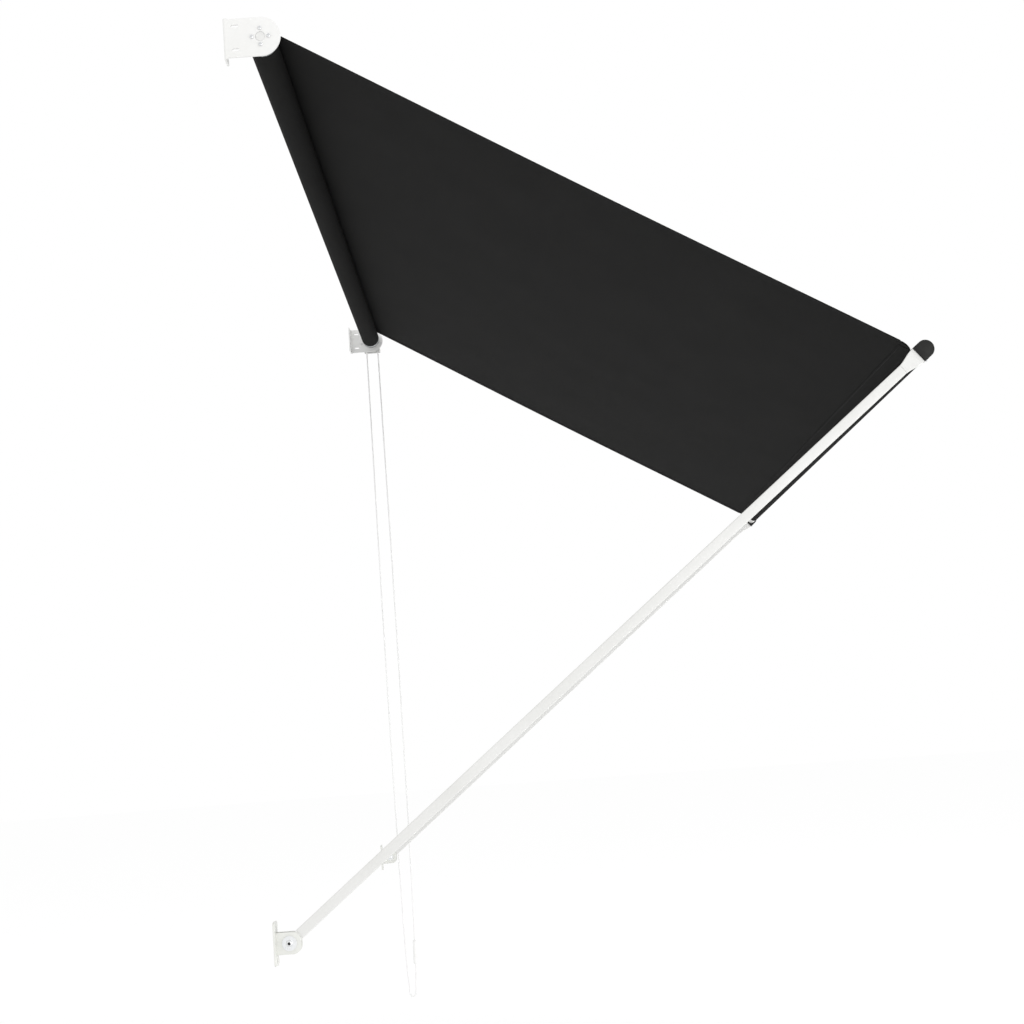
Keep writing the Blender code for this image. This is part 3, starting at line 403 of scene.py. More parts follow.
JOINER_RADIUS = 0.006
JOINER_LENGTH = 0.070
JOINER_UP = 0.095
JOINER_LOW = CORD_DROP - JOINER_UP
JOINER_BORE = CORD_RADIUS + 0.0003
JOINER_MOUTH = JOINER_BORE + 0.0010
JOINER_NOSE = 0.0035
JOINER_GROOVE = ((-0.0012, 0.0), (-0.0006, 0.0005), (0.0006, 0.0005), (0.0012, 0.0))


def front_strand_at(down):
    """How far out the front strand hangs at this depth."""
    path = smooth(front, 3)
    for above, below in zip(path, path[1:]):
        if above.y <= down <= below.y:
            return above.lerp(below, (down - above.y) / (below.y - above.y)).x


half = JOINER_LENGTH / 2
profile = [(-half, JOINER_BORE), (-half, JOINER_MOUTH)]
nose = (JOINER_NOSE - half, JOINER_MOUTH)
profile += arc(nose, -JOINER_NOSE, 10, 90, 5, JOINER_RADIUS - JOINER_MOUTH)
profile += [(x - half / 2, JOINER_RADIUS - deep) for x, deep in JOINER_GROOVE]
profile += [(-x, r) for x, r in reversed(profile)]
out_high = front_strand_at(JOINER_LOW - JOINER_LENGTH)
out_low = front_strand_at(JOINER_LOW)
lean = atan2(out_low - out_high, JOINER_LENGTH)
joiner_place = moved_to(CORD_PLANE, -AXIS_OUT - (out_high + out_low) / 2, half - JOINER_LOW)
joiner_place = joiner_place @ Matrix.Rotation(-lean, 4, "X") @ Matrix.Rotation(pi / 2, 4, "Y")
# The sleeve's lighter plastic is painted light against the shade that falls on it.
joiner = dress(blank("cord_sleeve", turned(profile, 32, True), MOULDING_PAINTED_LIGHT), joiner_place)
fit(joiner, "wall_frame", "white_plastic", "cord_joiner")


# The roller brackets: one left and one right, each folded from 3 mm steel sheet and coated white.
# The wall plate takes two wall screws in upright slots. The cheek carries the roller's bearing, and
# has a round front, two short slots and, on the cord's side, the holes of the drive's lugs.
ENDS = ((-1, "left"), (1, "right"))
SHEET = 0.003
SEAT = 0.0003
BEND_OUTER = 0.004
CHEEK_RADIUS = 0.036
CHEEK_STEP = 0.007
CHEEK_SLOT = (0.013, 0.0045)
CHEEK_SLOT_OUT = 0.021
CHEEK_SLOT_UP = 0.022
WALL_PLATE_WIDTH = 0.030
WALL_PLATE_HALF = 0.0375
WALL_SLOT = (0.0065, 0.012)
WALL_SLOT_UP = 0.027
BEARING_SPIGOT = 0.0085
SCREW_CIRCLE = 0.015
SCREW_HOLE = 0.0023
LUG_REACH = 0.0225 + SCREW_HOLE + 0.0037 + 2 * SEAT
LUG_DROP = 0.010
LUGS = [(0.0, LUG_REACH), (LUG_REACH, -LUG_DROP), (-LUG_REACH, -LUG_DROP)]


def extrude(bm, outline, axis, low, high):
    """Adds a solid with this outline, from low to high along the axis."""
    def at(along, p):
        return {"X": (along, p[0], p[1]), "Y": (p[0], along, p[1]), "Z": (p[0], p[1], along)}[axis]

    base = bm.faces.new([bm.verts.new(at(low, p)) for p in outline])
    grown = bmesh.ops.extrude_face_region(bm, geom=[base])["geom"]
    moved = [v for v in grown if isinstance(v, bmesh.types.BMVert)]
    bmesh.ops.translate(bm, vec=at(high - low, (0.0, 0.0)), verts=moved)
    return bm


def prism(outline, axis, low, high):
    """A solid of one outline."""
    return extrude(bmesh.new(), outline, axis, low, high)


def circle(centre, radius, sides, start_deg=0.0):
    """Points of a closed circle."""
    return arc(centre, radius, start_deg, start_deg + 360.0, sides)[:-1]


def rod(radius, low, high, centre=(0.0, 0.0), sides=48, axis="X"):
    """A solid round bar."""
    return prism(circle(centre, radius, sides), axis, low, high)


def drill(holes, points, radius, low, high, axis="X", sides=24):
    """Adds a drill to a cutting tool at each of these points."""
    for point in points:
        extrude(holes, circle(point, radius, sides), axis, low, high)
    return holes


def slot_hole(centre, width, height):
    """A slot's outline with round ends."""
    r = min(width, height) / 2
    across, up = width / 2 - r, height / 2 - r
    start = -90 if across else 0
    ends = [arc((centre[0] + s * across, centre[1] + s * up), r, a, a + 180, 12)
            for s, a in ((1, start), (-1, start + 180))]
    return ends[0] + ends[1]


def work(piece, operation, bm, side=1, inside=None):
    """Cuts, joins or keeps part of a piece with a tool, which is thrown away."""
    tool = blank(piece.name + "_tool", bm, inside or piece.data.materials[0], side)
    how = {"operation": operation, "solver": "EXACT", "material_mode": "TRANSFER"}
    reshape(piece, "BOOLEAN", object=tool, **how)
    bpy.data.objects.remove(tool)


def cut(piece, bm, side=1, inside=None):
    """Takes a tool's shape away from a piece."""
    work(piece, "DIFFERENCE", bm, side, inside)


# White powder coat on steel: an even, faintly rippled skin.
COATED = {"scale": 14.0, "gloss": (0.34, 0.46, 40.0), "fine": (650.0, 0.00004, 0.3)}
POWDER_COAT = finish("white_powder_coat", (0.760, 0.760, 0.745), (0.795, 0.795, 0.785), **COATED)

# Each one is made with the cheek's outer face at X = 0 and the wall at Y = 0.
far = AXIS_OUT + CHEEK_RADIUS + SHEET
bend = (-BEND_OUTER, -BEND_OUTER)
fold = [(-WALL_PLATE_WIDTH, 0.0)] + arc(bend, BEND_OUTER, 90, 0, 12) + [(0.0, -far), (-SHEET, -far)]
fold += arc(bend, BEND_OUTER - SHEET, 0, 90, 8) + [(-WALL_PLATE_WIDTH, -SHEET)]
shape = [(SHEET, -WALL_PLATE_HALF), (SHEET, WALL_PLATE_HALF), (-CHEEK_STEP, WALL_PLATE_HALF)]
shape += [(-CHEEK_STEP, CHEEK_RADIUS)] + arc((-AXIS_OUT, 0.0), CHEEK_RADIUS, 90, 270, 64)
shape += [(-CHEEK_STEP, -CHEEK_RADIUS), (-CHEEK_STEP, -WALL_PLATE_HALF)]
through = (-2 * SHEET, SHEET)
middle = -(WALL_PLATE_WIDTH + SHEET) / 2
for side, end in ENDS:
    name = end + "_roller_bracket"
    piece = blank(name, prism(fold, "Z", -WALL_PLATE_HALF, WALL_PLATE_HALF), POWDER_COAT, side)
    work(piece, "INTERSECT", prism(shape, "X", -WALL_PLATE_WIDTH - SHEET, SHEET), side)
    holes = bmesh.new()
    for up in (-1, 1):
        extrude(holes, slot_hole((-CHEEK_SLOT_OUT, up * CHEEK_SLOT_UP), *CHEEK_SLOT), "X", *through)
        extrude(holes, slot_hole((middle, up * WALL_SLOT_UP), *WALL_SLOT), "Y", *through)
    drill(holes, [(-AXIS_OUT, 0.0)], BEARING_SPIGOT + SEAT, *through, sides=48)
    drilled = circle((0.0, 0.0), SCREW_CIRCLE, 4) + (LUGS if side > 0 else [])
    drill(holes, [(y - AXIS_OUT, z) for y, z in drilled], SCREW_HOLE, *through)
    cut(piece, holes, side)
    dress(piece, moved_to(HALF_WIDTH, 0.0, 0.0, side), 0.0005)
    fit(piece, "wall_frame", "white_steel", name)


# The bearings: white moulded flanges inside the cheeks, each held by four zinc-plated pan-head
# screws with a cross recess, put in from outside. The left one has a pin for the roller, and the
# right one lets the drive's shaft through.
BEARING_RADIUS = 0.021
BEARING_FACE = SHEET + SEAT + 0.004
IDLE_PIN_RADIUS = 0.006
IDLE_PIN_LENGTH = 0.018
SHAFT_FLATS = 0.009
SCREW_RADIUS = 0.002
SCREW_HEAD_RADIUS = 0.0037
SCREW_HEAD_HEIGHT = 0.0024
SCREW_REACH = 0.003
CROSS_REACH = 0.0022
CROSS_HALF = 0.0005
CROSS_DEPTH = 0.0013


def pan_screw(shank):
    """A screw about X with its head standing on x = 0, a domed top and a cross recess."""
    r, h = SCREW_HEAD_RADIUS, SCREW_HEAD_HEIGHT
    profile = [(-shank, 0.0), (-shank, 0.7 * SCREW_RADIUS), (-shank + 0.0008, SCREW_RADIUS)]
    profile += [(0.0, SCREW_RADIUS), (0.0, r - 0.0002), (0.0002, r), (0.5 * h, r)]
    profile += arc((0.5 * h, 0.62 * r), 0.5 * h, 70, 10, 3, 0.38 * r) + [(h, 0.5 * r), (h, 0.0)]
    screw = blank("screw", turned(profile, 32), ZINC_PLATE)
    a, b = CROSS_REACH, CROSS_HALF
    cross = []
    for quarter in range(4):
        c, d = cos(quarter * pi / 2), sin(quarter * pi / 2)
        cross += [(c * y - d * z, d * y + c * z) for y, z in ((b, -b), (a, -b), (a, b))]
    # The cross recess's walls take the recess finish, which is painted shade.
    cut(screw, prism(cross, "X", h - CROSS_DEPTH, h + 0.001), inside=RECESS_SHADE)
    return dress(screw, edge=0.00008)


def upright(tree, geometry):
    """Lays what stands along Z along X."""
    return step(tree, "Transform", Geometry=geometry, Rotation=(0.0, pi / 2, 0.0))


def screw_ring_tree():
    """Equal screws on a circle about X, each turned by its own amount."""
    sizes = {"Screw": "Object", "Count": "Int", "Centre": "Vector", "Facing": "Vector", "Seed": "Int"}
    tree, given = new_tree("screw_ring", "Circle", **sizes)
    ring = step(tree, "MeshCircle", Vertices=given["Count"], Radius=given["Circle"])
    screw = step(tree, "ObjectInfo", "Geometry", Object=given["Screw"], As_Instance=True)
    spin = step(tree, "RandomValue", 1, data_type="FLOAT", Max=tau, Seed=given["Seed"])
    feeds = {"Instance": screw, "Rotation": step(tree, "CombineXYZ", X=spin)}
    screws = step(tree, "InstanceOnPoints", Points=upright(tree, ring), **feeds)
    feeds = {"Rotation": given["Facing"], "Translation": given["Centre"]}
    return end_tree(tree, given, step(tree, "Transform", Geometry=screws, **feeds))


# Bright zinc on steel with faint cloudy stains, and for the inside of a drive recess a dark finish that is
# painted shade over the dull, unplated metal there.
ZINC_PLATE = finish("zinc_plate", (0.74, 0.75, 0.76), (0.82, 0.83, 0.835), 300.0, (0.26, 0.42, 300.0),
                    (3000.0, 0.00002, 0.4), metallic=0.9)
RECESS_SHADE = finish("dark_recess", (0.035, 0.035, 0.036), (0.075, 0.075, 0.075), 900.0, None,
                (4000.0, 0.00002, 0.5), roughness=0.55, metallic=0.6)
screw_ring = screw_ring_tree()
bearing_screw = pan_screw(2 * SEAT + SHEET + SCREW_REACH)

# Each one is made with the cheek's outer face at X = 0 and the roller's axis on X.
inside = -SHEET - SEAT
rim = [(-BEARING_FACE, BEARING_RADIUS - 0.0006), (-BEARING_FACE + 0.0006, BEARING_RADIUS)]
rim += [(inside, BEARING_RADIUS), (inside, BEARING_SPIGOT), (-0.0004, BEARING_SPIGOT)]
rim += [(0.0, BEARING_SPIGOT - 0.0004)]
for side, end in ENDS:
    if side < 0:
        tip, r = -BEARING_FACE - IDLE_PIN_LENGTH, IDLE_PIN_RADIUS
        pin = [(tip, 0.0), (tip, r - 0.001), (tip + 0.001, r), (-BEARING_FACE, r)]
        bm = turned([*pin, *rim, (0.0, 0.0)], 64)
    else:
        bore = SHAFT_FLATS / sqrt(3) + 0.0004
        bm = turned([(-BEARING_FACE, bore), *rim, (0.0, bore)], 64, True)
    piece = blank(end + "_bearing_flange", bm, WHITE_MOULDING, side)
    points = circle((0.0, 0.0), SCREW_CIRCLE, 4)
    cut(piece, drill(bmesh.new(), points, SCREW_HOLE, inside - SCREW_REACH - SEAT, inside + SHEET), side)
    dress(piece, moved_to(HALF_WIDTH, -AXIS_OUT, 0.0, side))
    fit(piece, "wall_frame", "white_plastic", end + "_bearing")
    sizes = {"screw": bearing_screw, "count": 4, "circle": SCREW_CIRCLE, "seed": 3 + side}
    sizes["centre"] = (side * (HALF_WIDTH + SEAT), -AXIS_OUT, 0.0)
    sizes["facing"] = (0.0, 0.0, 0.0 if side > 0 else pi)
    screws = grow(end + "_bearing_screws", screw_ring, material=ZINC_PLATE, **sizes)
    fit(screws, "wall_frame", "zinc_steel", *[f"{end}_bearing_screw_{n}" for n in (1, 2, 3, 4)])
bpy.data.objects.remove(bearing_screw)


# The roller: a galvanised steel tube with a dark ribbed plug pressed into each end. Only its last
# centimetres show, between the cloth and the bearings. The plugs and the shaft keep their CAD shape.
ROLLER_RADIUS = 0.025
ROLLER_WALL = 0.0012
PLUG_RIM = 0.002
END_PLAY = 0.001
TUBE_HALF = HALF_WIDTH - BEARING_FACE - END_PLAY - PLUG_RIM - SEAT


def smooth_copy(node, name, material, body, slot):
    """A CAD node's own shape, with its triangles joined and its round faces shaded round."""
    bm = bmesh.new()
    bm.from_mesh(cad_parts[node].data)
    bmesh.ops.remove_doubles(bm, verts=bm.verts, dist=0.00001)
    fit(dress(blank(name, bm, material), sharp_deg=40.0), body, slot, node)


# Dull zinc with the leafy flakes of hot galvanising.
GALVANISED = finish("galvanised_steel", (0.40, 0.41, 0.42), (0.60, 0.61, 0.62), 160.0, (0.36, 0.55, 120.0),
                    (900.0, 0.00003, 0.5), flaky=True, metallic=0.85)
# Dark grey plastic with a fine spark-eroded grain.
DARK_MOULDING = finish("dark_moulding", (0.0105, 0.0105, 0.0101), (0.0155, 0.0155, 0.0147), 60.0,
                       (0.42, 0.58, 90.0), (2600.0, 0.00004, 0.6), specular=0.2)
rims = [(-TUBE_HALF, ROLLER_RADIUS - ROLLER_WALL), (-TUBE_HALF, ROLLER_RADIUS - 0.0002)]
rims += [(-TUBE_HALF + 0.0002, ROLLER_RADIUS)]
rims += [(-x, r) for x, r in reversed(rims)]
tube = dress(blank("roller_tube_steel", turned(rims, 96, True), GALVANISED), moved_to(0.0, -AXIS_OUT, 0.0))
fit(tube, "roller", "galvanised_tube", "roller_tube")
for side, end in ENDS:
    smooth_copy(end + "_roller_plug", end + "_plug", DARK_MOULDING, "roller", "dark_plastic")
smooth_copy("drive_shaft", "hexagon_shaft", ZINC_PLATE, "roller", "zinc_steel")


# The cord drive on the right cheek: a dark grooved wheel on the shaft, a wrap spring that brakes
# it, and a white moulded cover that is open below for the cord. Three lugs hold the cover with
# zinc-plated screws through the cheek.
DRIVE_RADIUS = 0.0248
DRIVE_INNER = 0.0225
DRIVE_DEPTH = 0.0278
DRIVE_FLOOR = 0.0255
DRIVE_DROP = 0.034
DRIVE_RIM = 0.0045
DRIVE_DISH = 0.0004
WHEEL_START = 0.0035
WHEEL_END = 0.0245
WHEEL_MIDDLE = 0.014
WHEEL_HALF = 0.006
WHEEL_RADIUS = 0.0195
HUB_RADIUS = 0.011
GROOVE_RADIUS = 0.0151
GROOVE_HALF = 0.0022
CUP_RADIUS = 0.0095
CUP_WALL = 0.003
CUP_START = 0.0165
BOSS_RADIUS = 0.007
LUG_RADIUS = 0.005
LUG_THICK = 0.005
WIRE_RADIUS = 0.0006
COILS = 5
drive_place = moved_to(HALF_WIDTH, -AXIS_OUT, 0.0)


def arch(radius, drop):
    """A round top with straight sides down to a flat end."""
    return arc((0.0, 0.0), radius, 0, 180, 64) + [(-radius, -drop), (radius, -drop)]


def hexagon(flats, low, high):
    """A six-sided bar about X."""
    return prism(circle((0.0, 0.0), flats / sqrt(3), 6, 90), "X", low, high)


def wheel_grip_tree():
    """Short ribs round the groove, which grip the cord."""
    tree, given = new_tree("wheel_grip", "Radius Rib_Length Rib_Radius", Count="Int", Centre="Vector")
    ring = step(tree, "MeshCircle", Vertices=given["Count"], Radius=given["Radius"])
    feeds = {"Vertices": 8, "Radius": given["Rib Radius"], "Depth": given["Rib Length"]}
    rib = upright(tree, step(tree, "MeshCylinder", **feeds))
    ribs = step(tree, "InstanceOnPoints", Points=upright(tree, ring), Instance=rib)
    placed = step(tree, "Transform", Geometry=ribs, Translation=given["Centre"])
    return end_tree(tree, given, placed)


# The cover is placed from the cheek's outer face on the roller's axis.
shell = prism(arch(DRIVE_RADIUS, DRIVE_DROP), "X", SEAT, DRIVE_DEPTH)
cover = dress(blank("drive_cover", shell, WHITE_MOULDING), edge=0.0014)
recess = arch(DRIVE_RADIUS - DRIVE_RIM, DRIVE_DROP - DRIVE_RIM)
cut(cover, prism(recess, "X", DRIVE_DEPTH - DRIVE_DISH, DRIVE_DEPTH + 0.001))
for point in LUGS:
    work(cover, "UNION", rod(LUG_RADIUS, SEAT, LUG_THICK, point))
cut(cover, prism(arch(DRIVE_INNER, 2 * DRIVE_DROP), "X", -SHEET, DRIVE_FLOOR))
cut(cover, drill(bmesh.new(), LUGS, SCREW_HOLE, -SHEET, 2 * LUG_THICK))
work(cover, "UNION", rod(BOSS_RADIUS, CUP_START + 0.0005, DRIVE_FLOOR + 0.001))
fit(dress(cover, drive_place, 0.0003), "wall_frame", "white_plastic", "drive_housing")

# The wheel has a groove between two flanks and a cup for the spring.
low, high, e = WHEEL_MIDDLE - WHEEL_HALF, WHEEL_MIDDLE + WHEEL_HALF, 0.0004
flank = [(0.0, WHEEL_RADIUS - e), (e, WHEEL_RADIUS), (3 * e, WHEEL_RADIUS), (0.0018, WHEEL_RADIUS - e)]
profile = [(WHEEL_START, 0.0), (WHEEL_START, HUB_RADIUS - e), (WHEEL_START + e, HUB_RADIUS)]
profile += [(low, HUB_RADIUS)] + [(low + x, r) for x, r in flank]
profile += [(WHEEL_MIDDLE - GROOVE_HALF, GROOVE_RADIUS), (WHEEL_MIDDLE + GROOVE_HALF, GROOVE_RADIUS)]
profile += [(high - x, r) for x, r in reversed(flank)] + [(high, CUP_RADIUS + CUP_WALL)]
profile += [(WHEEL_END, CUP_RADIUS + CUP_WALL), (WHEEL_END, CUP_RADIUS), (CUP_START, CUP_RADIUS)]
wheel = blank("cord_wheel_rim", turned([*profile, (CUP_START, 0.0)], 96), DARK_MOULDING)
cut(wheel, hexagon(SHAFT_FLATS + 2 * SEAT, 0.0, WHEEL_END))
fit(dress(wheel, drive_place), "roller", "dark_plastic", "cord_wheel")
sizes = {"count": 40, "radius": GROOVE_RADIUS, "rib_length": 0.0042, "rib_radius": 0.00025}
sizes["centre"] = (HALF_WIDTH + WHEEL_MIDDLE, -AXIS_OUT, 0.0)
grip = grow("cord_wheel_grip", wheel_grip_tree(), material=DARK_MOULDING, **sizes)
fit(grip, "roller", "dark_plastic")

# The brake spring is wound on the cover's boss, inside the wheel's cup.
low, high = CUP_START + 0.001 + WIRE_RADIUS, DRIVE_FLOOR - SEAT - WIRE_RADIUS
steps = COILS * 32
radius = BOSS_RADIUS + SEAT + WIRE_RADIUS
coil = []
for i in range(steps + 1):
    a = tau * COILS * i / steps
    x = HALF_WIDTH + low + (high - low) * i / steps
    coil.append((x, radius * cos(a) - AXIS_OUT, radius * sin(a)))
spring = bar_along("brake_spring", coil, ZINC_PLATE, WIRE_RADIUS, 10, 0.0014)
fit(spring, "wall_frame", "zinc_steel", "wrap_spring")

lug_screw = pan_screw(SEAT + LUG_THICK + SHEET)
lug_screws = bmesh.new()
for number, (y, z) in enumerate(LUGS):
    part = lug_screw.data.copy()
    screw_place = moved_to(HALF_WIDTH + LUG_THICK + SEAT, y - AXIS_OUT, z)
    part.transform(screw_place @ Matrix.Rotation(number, 4, "X"))
    lug_screws.from_mesh(part)
bpy.data.objects.remove(lug_screw)
drive_screws = dress(blank("drive_screws", lug_screws, ZINC_PLATE))
fit(drive_screws, "wall_frame", "zinc_steel", "drive_screw_1", "drive_screw_2", "drive_screw_3")


# The cloth: dark woven polyester, 0.6 mm thick, with folded and sewn hems. It leaves the roller
# over the top, runs taut to the front tube and is sewn round it as a sleeve. The cloth between
# roller and tube closes up along its length while the arms swing up and the roller winds it in.
FRONT_RADIUS = 0.012
CLOTH = 0.0006
CLOTH_HALF = 0.972
ARM_RISE = radians(38.9)
PIVOT_OUT = 0.026
PIVOT_DROP = 1.590
ARM_LENGTH = 1.500
ROLL_INNER = ROLLER_RADIUS + SEAT
PANEL_LOW = ROLL_INNER + CLOTH + SEAT
PANEL_MIDDLE = PANEL_LOW + CLOTH / 2
SLEEVE_OUTER = FRONT_RADIUS + SEAT + 0.0007
SLEEVE_GAP = 0.00005
PANEL_SAG = 0.0025
RIPPLE = 0.12
RIPPLE_RATE = 23.0
YARN = 0.0009
SIDE_HEM = 0.022
FRONT_HEM = 0.028
HEM_START = 0.0072
FOLD_GAP = 0.0001
HEM_LOW = CLOTH + FOLD_GAP
CORNER_WIDTH = 0.045
CORNER_LENGTH = 0.030
SLEEVE_HALF = CLOTH_HALF - CORNER_WIDTH
bar_out = PIVOT_OUT + ARM_LENGTH * cos(ARM_RISE) - AXIS_OUT
bar_drop = PIVOT_DROP - ARM_LENGTH * sin(ARM_RISE)
reach = hypot(bar_out, bar_drop)
PANEL_LENGTH = sqrt(reach**2 - PANEL_MIDDLE**2) - SLEEVE_OUTER - SLEEVE_GAP
cloth_fall = atan2(bar_drop, bar_out) + asin(PANEL_MIDDLE / reach)
cloth_place = moved_to(0.0, -AXIS_OUT, 0.0) @ Matrix.Rotation(cloth_fall, 4, "X")


def woven_cloth():
    """A close plain weave of dark spun yarn. The pattern follows the cloth's own map, in metres."""
    material, tree, shader = bare_finish("dark_woven_cloth", 0.88, specular=0.06)
    mapped = step(tree, "UVMap", uv_map="UVMap")
    across, along, _ = step(tree, "SeparateXYZ", Vector=mapped).node.outputs
    yarns = [maths(tree, "SINE", maths(tree, "MULTIPLY", way, tau / YARN)) for way in (across, along)]
    weave = maths(tree, "MULTIPLY", *yarns)
    stretched = step(tree, "Mapping", Vector=mapped, Scale=(60.0, 1500.0, 1.0))
    slub = maths(tree, "MULTIPLY", noise(tree, stretched, 1.0), 0.5)
    shade = maths(tree, "ADD", maths(tree, "MULTIPLY", weave, 0.14), noise(tree, mapped, 7.0, 4.0), slub)
    ramp(tree, shader, shade, (0.0098, 0.0098, 0.0096), (0.0130, 0.0130, 0.0127), 0.35)
    grain(tree, shader, weave, 0.00012, 0.8)
    return material


def sagged(tree, given, geometry):
    """Lets a flat thing hang like the cloth: one soft hump under the straight line, a little rippled."""
    at = step(tree, "SeparateXYZ", Vector=step(tree, "InputPosition")).node.outputs
    share = maths(tree, "DIVIDE", at["Y"], given["Span"])
    hump = maths(tree, "MULTIPLY", share, maths(tree, "ADD", share, 1.0), 4.0)
    ripple = maths(tree, "SINE", maths(tree, "MULTIPLY", at["X"], RIPPLE_RATE))
    deep = maths(tree, "ADD", maths(tree, "MULTIPLY", ripple, RIPPLE), 1.0)
    drop = maths(tree, "MULTIPLY", hump, hump, deep, given["Sag"], -1.0)
    return step(tree, "SetPosition", Geometry=geometry, Offset=step(tree, "CombineXYZ", Z=drop))


def cloth_tree():
    """A flat cloth that sags a little between the roller and the tube, mapped in metres."""
    sizes = {"Columns": "Int", "Rows": "Int", "Start": "Vector"}
    tree, given = new_tree("taut_cloth", "Width Length Span Sag", **sizes)
    feeds = {"Size_X": given["Width"], "Size_Y": given["Length"]}
    feeds |= {"Vertices_X": given["Columns"], "Vertices_Y": given["Rows"]}
    forward = step(tree, "CombineXYZ", Y=maths(tree, "MULTIPLY", given["Length"], -0.5))
    flat = step(tree, "Transform", Geometry=step(tree, "MeshGrid", **feeds), Translation=forward)
    flat = step(tree, "Transform", Geometry=flat, Translation=given["Start"])
    feeds = {"data_type": "FLOAT2", "domain": "CORNER", "Name": "UVMap"}
    feeds |= {"Geometry": sagged(tree, given, flat), "Value": step(tree, "InputPosition")}
    mapped = step(tree, "StoreNamedAttribute", **feeds)
    return end_tree(tree, given, step(tree, "SetShadeSmooth", Geometry=mapped, Shade_Smooth=True))


def thicken(piece, thickness, place):
    """Gives a sheet its thickness, half to each side, and puts it in its place."""
    reshape(piece, "SOLIDIFY", thickness=thickness, offset=0.0, use_rim=True)
    bm = bmesh.new()
    bm.from_mesh(piece.data)
    bmesh.ops.recalc_face_normals(bm, faces=bm.faces)
    bm.to_mesh(piece.data)
    bm.free()
    return dress(piece, place, sharp_deg=40.0)


def cloth_piece(name, width, length, columns, rows, middle, start, lift=PANEL_MIDDLE - HEM_LOW):
    """A piece of the cloth between the roller and the tube. Lift is its height over the roller's axis."""
    sizes = {"width": width, "length": length, "columns": columns, "rows": rows}
    sizes["start"] = (middle, -start, lift)
    piece = grow(name, taut_cloth, material=WOVEN_CLOTH, **sizes, **HANG)
    thicken(piece, CLOTH, cloth_place)
    round_the_corners(piece)
    return fit(piece, "fabric_run", "dark_cloth")


def round_the_corners(piece):
    """Cuts a cloth's two front corners round."""
    cuts = bmesh.new()
    far = PANEL_LENGTH + CORNER_LENGTH
    for side, _ in ENDS:
        corner = (SLEEVE_HALF, CORNER_LENGTH - PANEL_LENGTH)
        rounding = [(side * x, y) for x, y in arc(corner, CORNER_WIDTH, 270, 360, 24, CORNER_LENGTH)]
        out = side * (CLOTH_HALF + CORNER_WIDTH)
        outside = [(out, rounding[-1][1]), (out, -far), (rounding[0][0], -far)]
        extrude(cuts, rounding + outside, "Z", 0.0, 0.05)
    bmesh.ops.transform(cuts, matrix=cloth_place, verts=cuts.verts)
    cut(piece, cuts)


WOVEN_CLOTH = woven_cloth()
HANG = {"span": PANEL_LENGTH, "sag": PANEL_SAG}
taut_cloth = cloth_tree()
panel = cloth_piece("awning_cloth", 2 * CLOTH_HALF, PANEL_LENGTH - SEAT, 150, 100, 0.0, SEAT, PANEL_MIDDLE)
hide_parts("fabric_panel")
hem_length = PANEL_LENGTH - FRONT_HEM - HEM_START
hems = []
for side, end in ENDS:
    middle = side * (CLOTH_HALF - SIDE_HEM / 2)
    hems.append(cloth_piece(end + "_side_hem", SIDE_HEM, hem_length, 5, 100, middle, HEM_START))
apart = 0.0004
width = 2 * (CLOTH_HALF - SIDE_HEM - apart)
start = PANEL_LENGTH - FRONT_HEM + apart
hems.append(cloth_piece("front_fold", width, FRONT_HEM - 3 * apart, 150, 5, 0.0, start))


def stitch_row_tree():
    """A row of lockstitches between two points: short capsules of thread, end to end."""
    tree, given = new_tree("stitch_row", "Pitch Stitch Thread Span Sag", Start="Vector", End="Vector")
    line = step(tree, "CurvePrimitiveLine", Start=given["Start"], End=given["End"])
    even = step(tree, "ResampleCurve", mode="LENGTH", Curve=line, Length=given["Pitch"])
    lie = step(tree, "AlignRotationToVector", axis="Z", Vector=step(tree, "InputTangent"))
    thread = step(tree, "MeshCylinder", Vertices=6, Radius=given["Thread"], Depth=given["Stitch"])
    row = step(tree, "InstanceOnPoints", Points=even, Instance=thread, Rotation=lie)
    return end_tree(tree, given, sagged(tree, given, step(tree, "RealizeInstances", Geometry=row)))


# Dark bonded thread, a little glossier than the cloth.
THREAD = finish("sewing_thread", (0.012, 0.012, 0.012), (0.020, 0.020, 0.020), 500.0, roughness=0.55,
                specular=0.2)
SEWN = {"pitch": 0.0042, "stitch": 0.0032, "thread": 0.00018}
SEAM_INSET = 0.003
FRONT_SEAM_INSET = 0.004
stitch_row = stitch_row_tree()
seams = []
for side, end in ENDS:
    for number, inset in ((1, SEAM_INSET), (2, SIDE_HEM - SEAM_INSET)):
        x = side * (CLOTH_HALF - inset)
        seam_end = CORNER_LENGTH + 0.002 - PANEL_LENGTH
        seams.append((f"{end}_hem_seam_{number}", (x, -HEM_START - 0.001), (x, seam_end)))
for number, inset in ((1, 0.005), (2, FRONT_HEM - FRONT_SEAM_INSET)):
    x, y = SLEEVE_HALF - FRONT_SEAM_INSET, inset - PANEL_LENGTH
    seams.append((f"front_seam_{number}", (-x, y), (x, y)))
stitches = {"over": [], "under": []}
for name, first, last in seams:
    for level, above in (("over", CLOTH / 2), ("under", -HEM_LOW - CLOTH / 2)):
        ends = {"start": (*first, PANEL_MIDDLE + above), "end": (*last, PANEL_MIDDLE + above)}
        row = grow(f"{name}_{level}", stitch_row, material=THREAD, **ends, **SEWN, **HANG)
        row.data.transform(cloth_place)
        stitches[level].append(fit(row, "fabric_run", "dark_cloth"))


RING_STEPS = 96


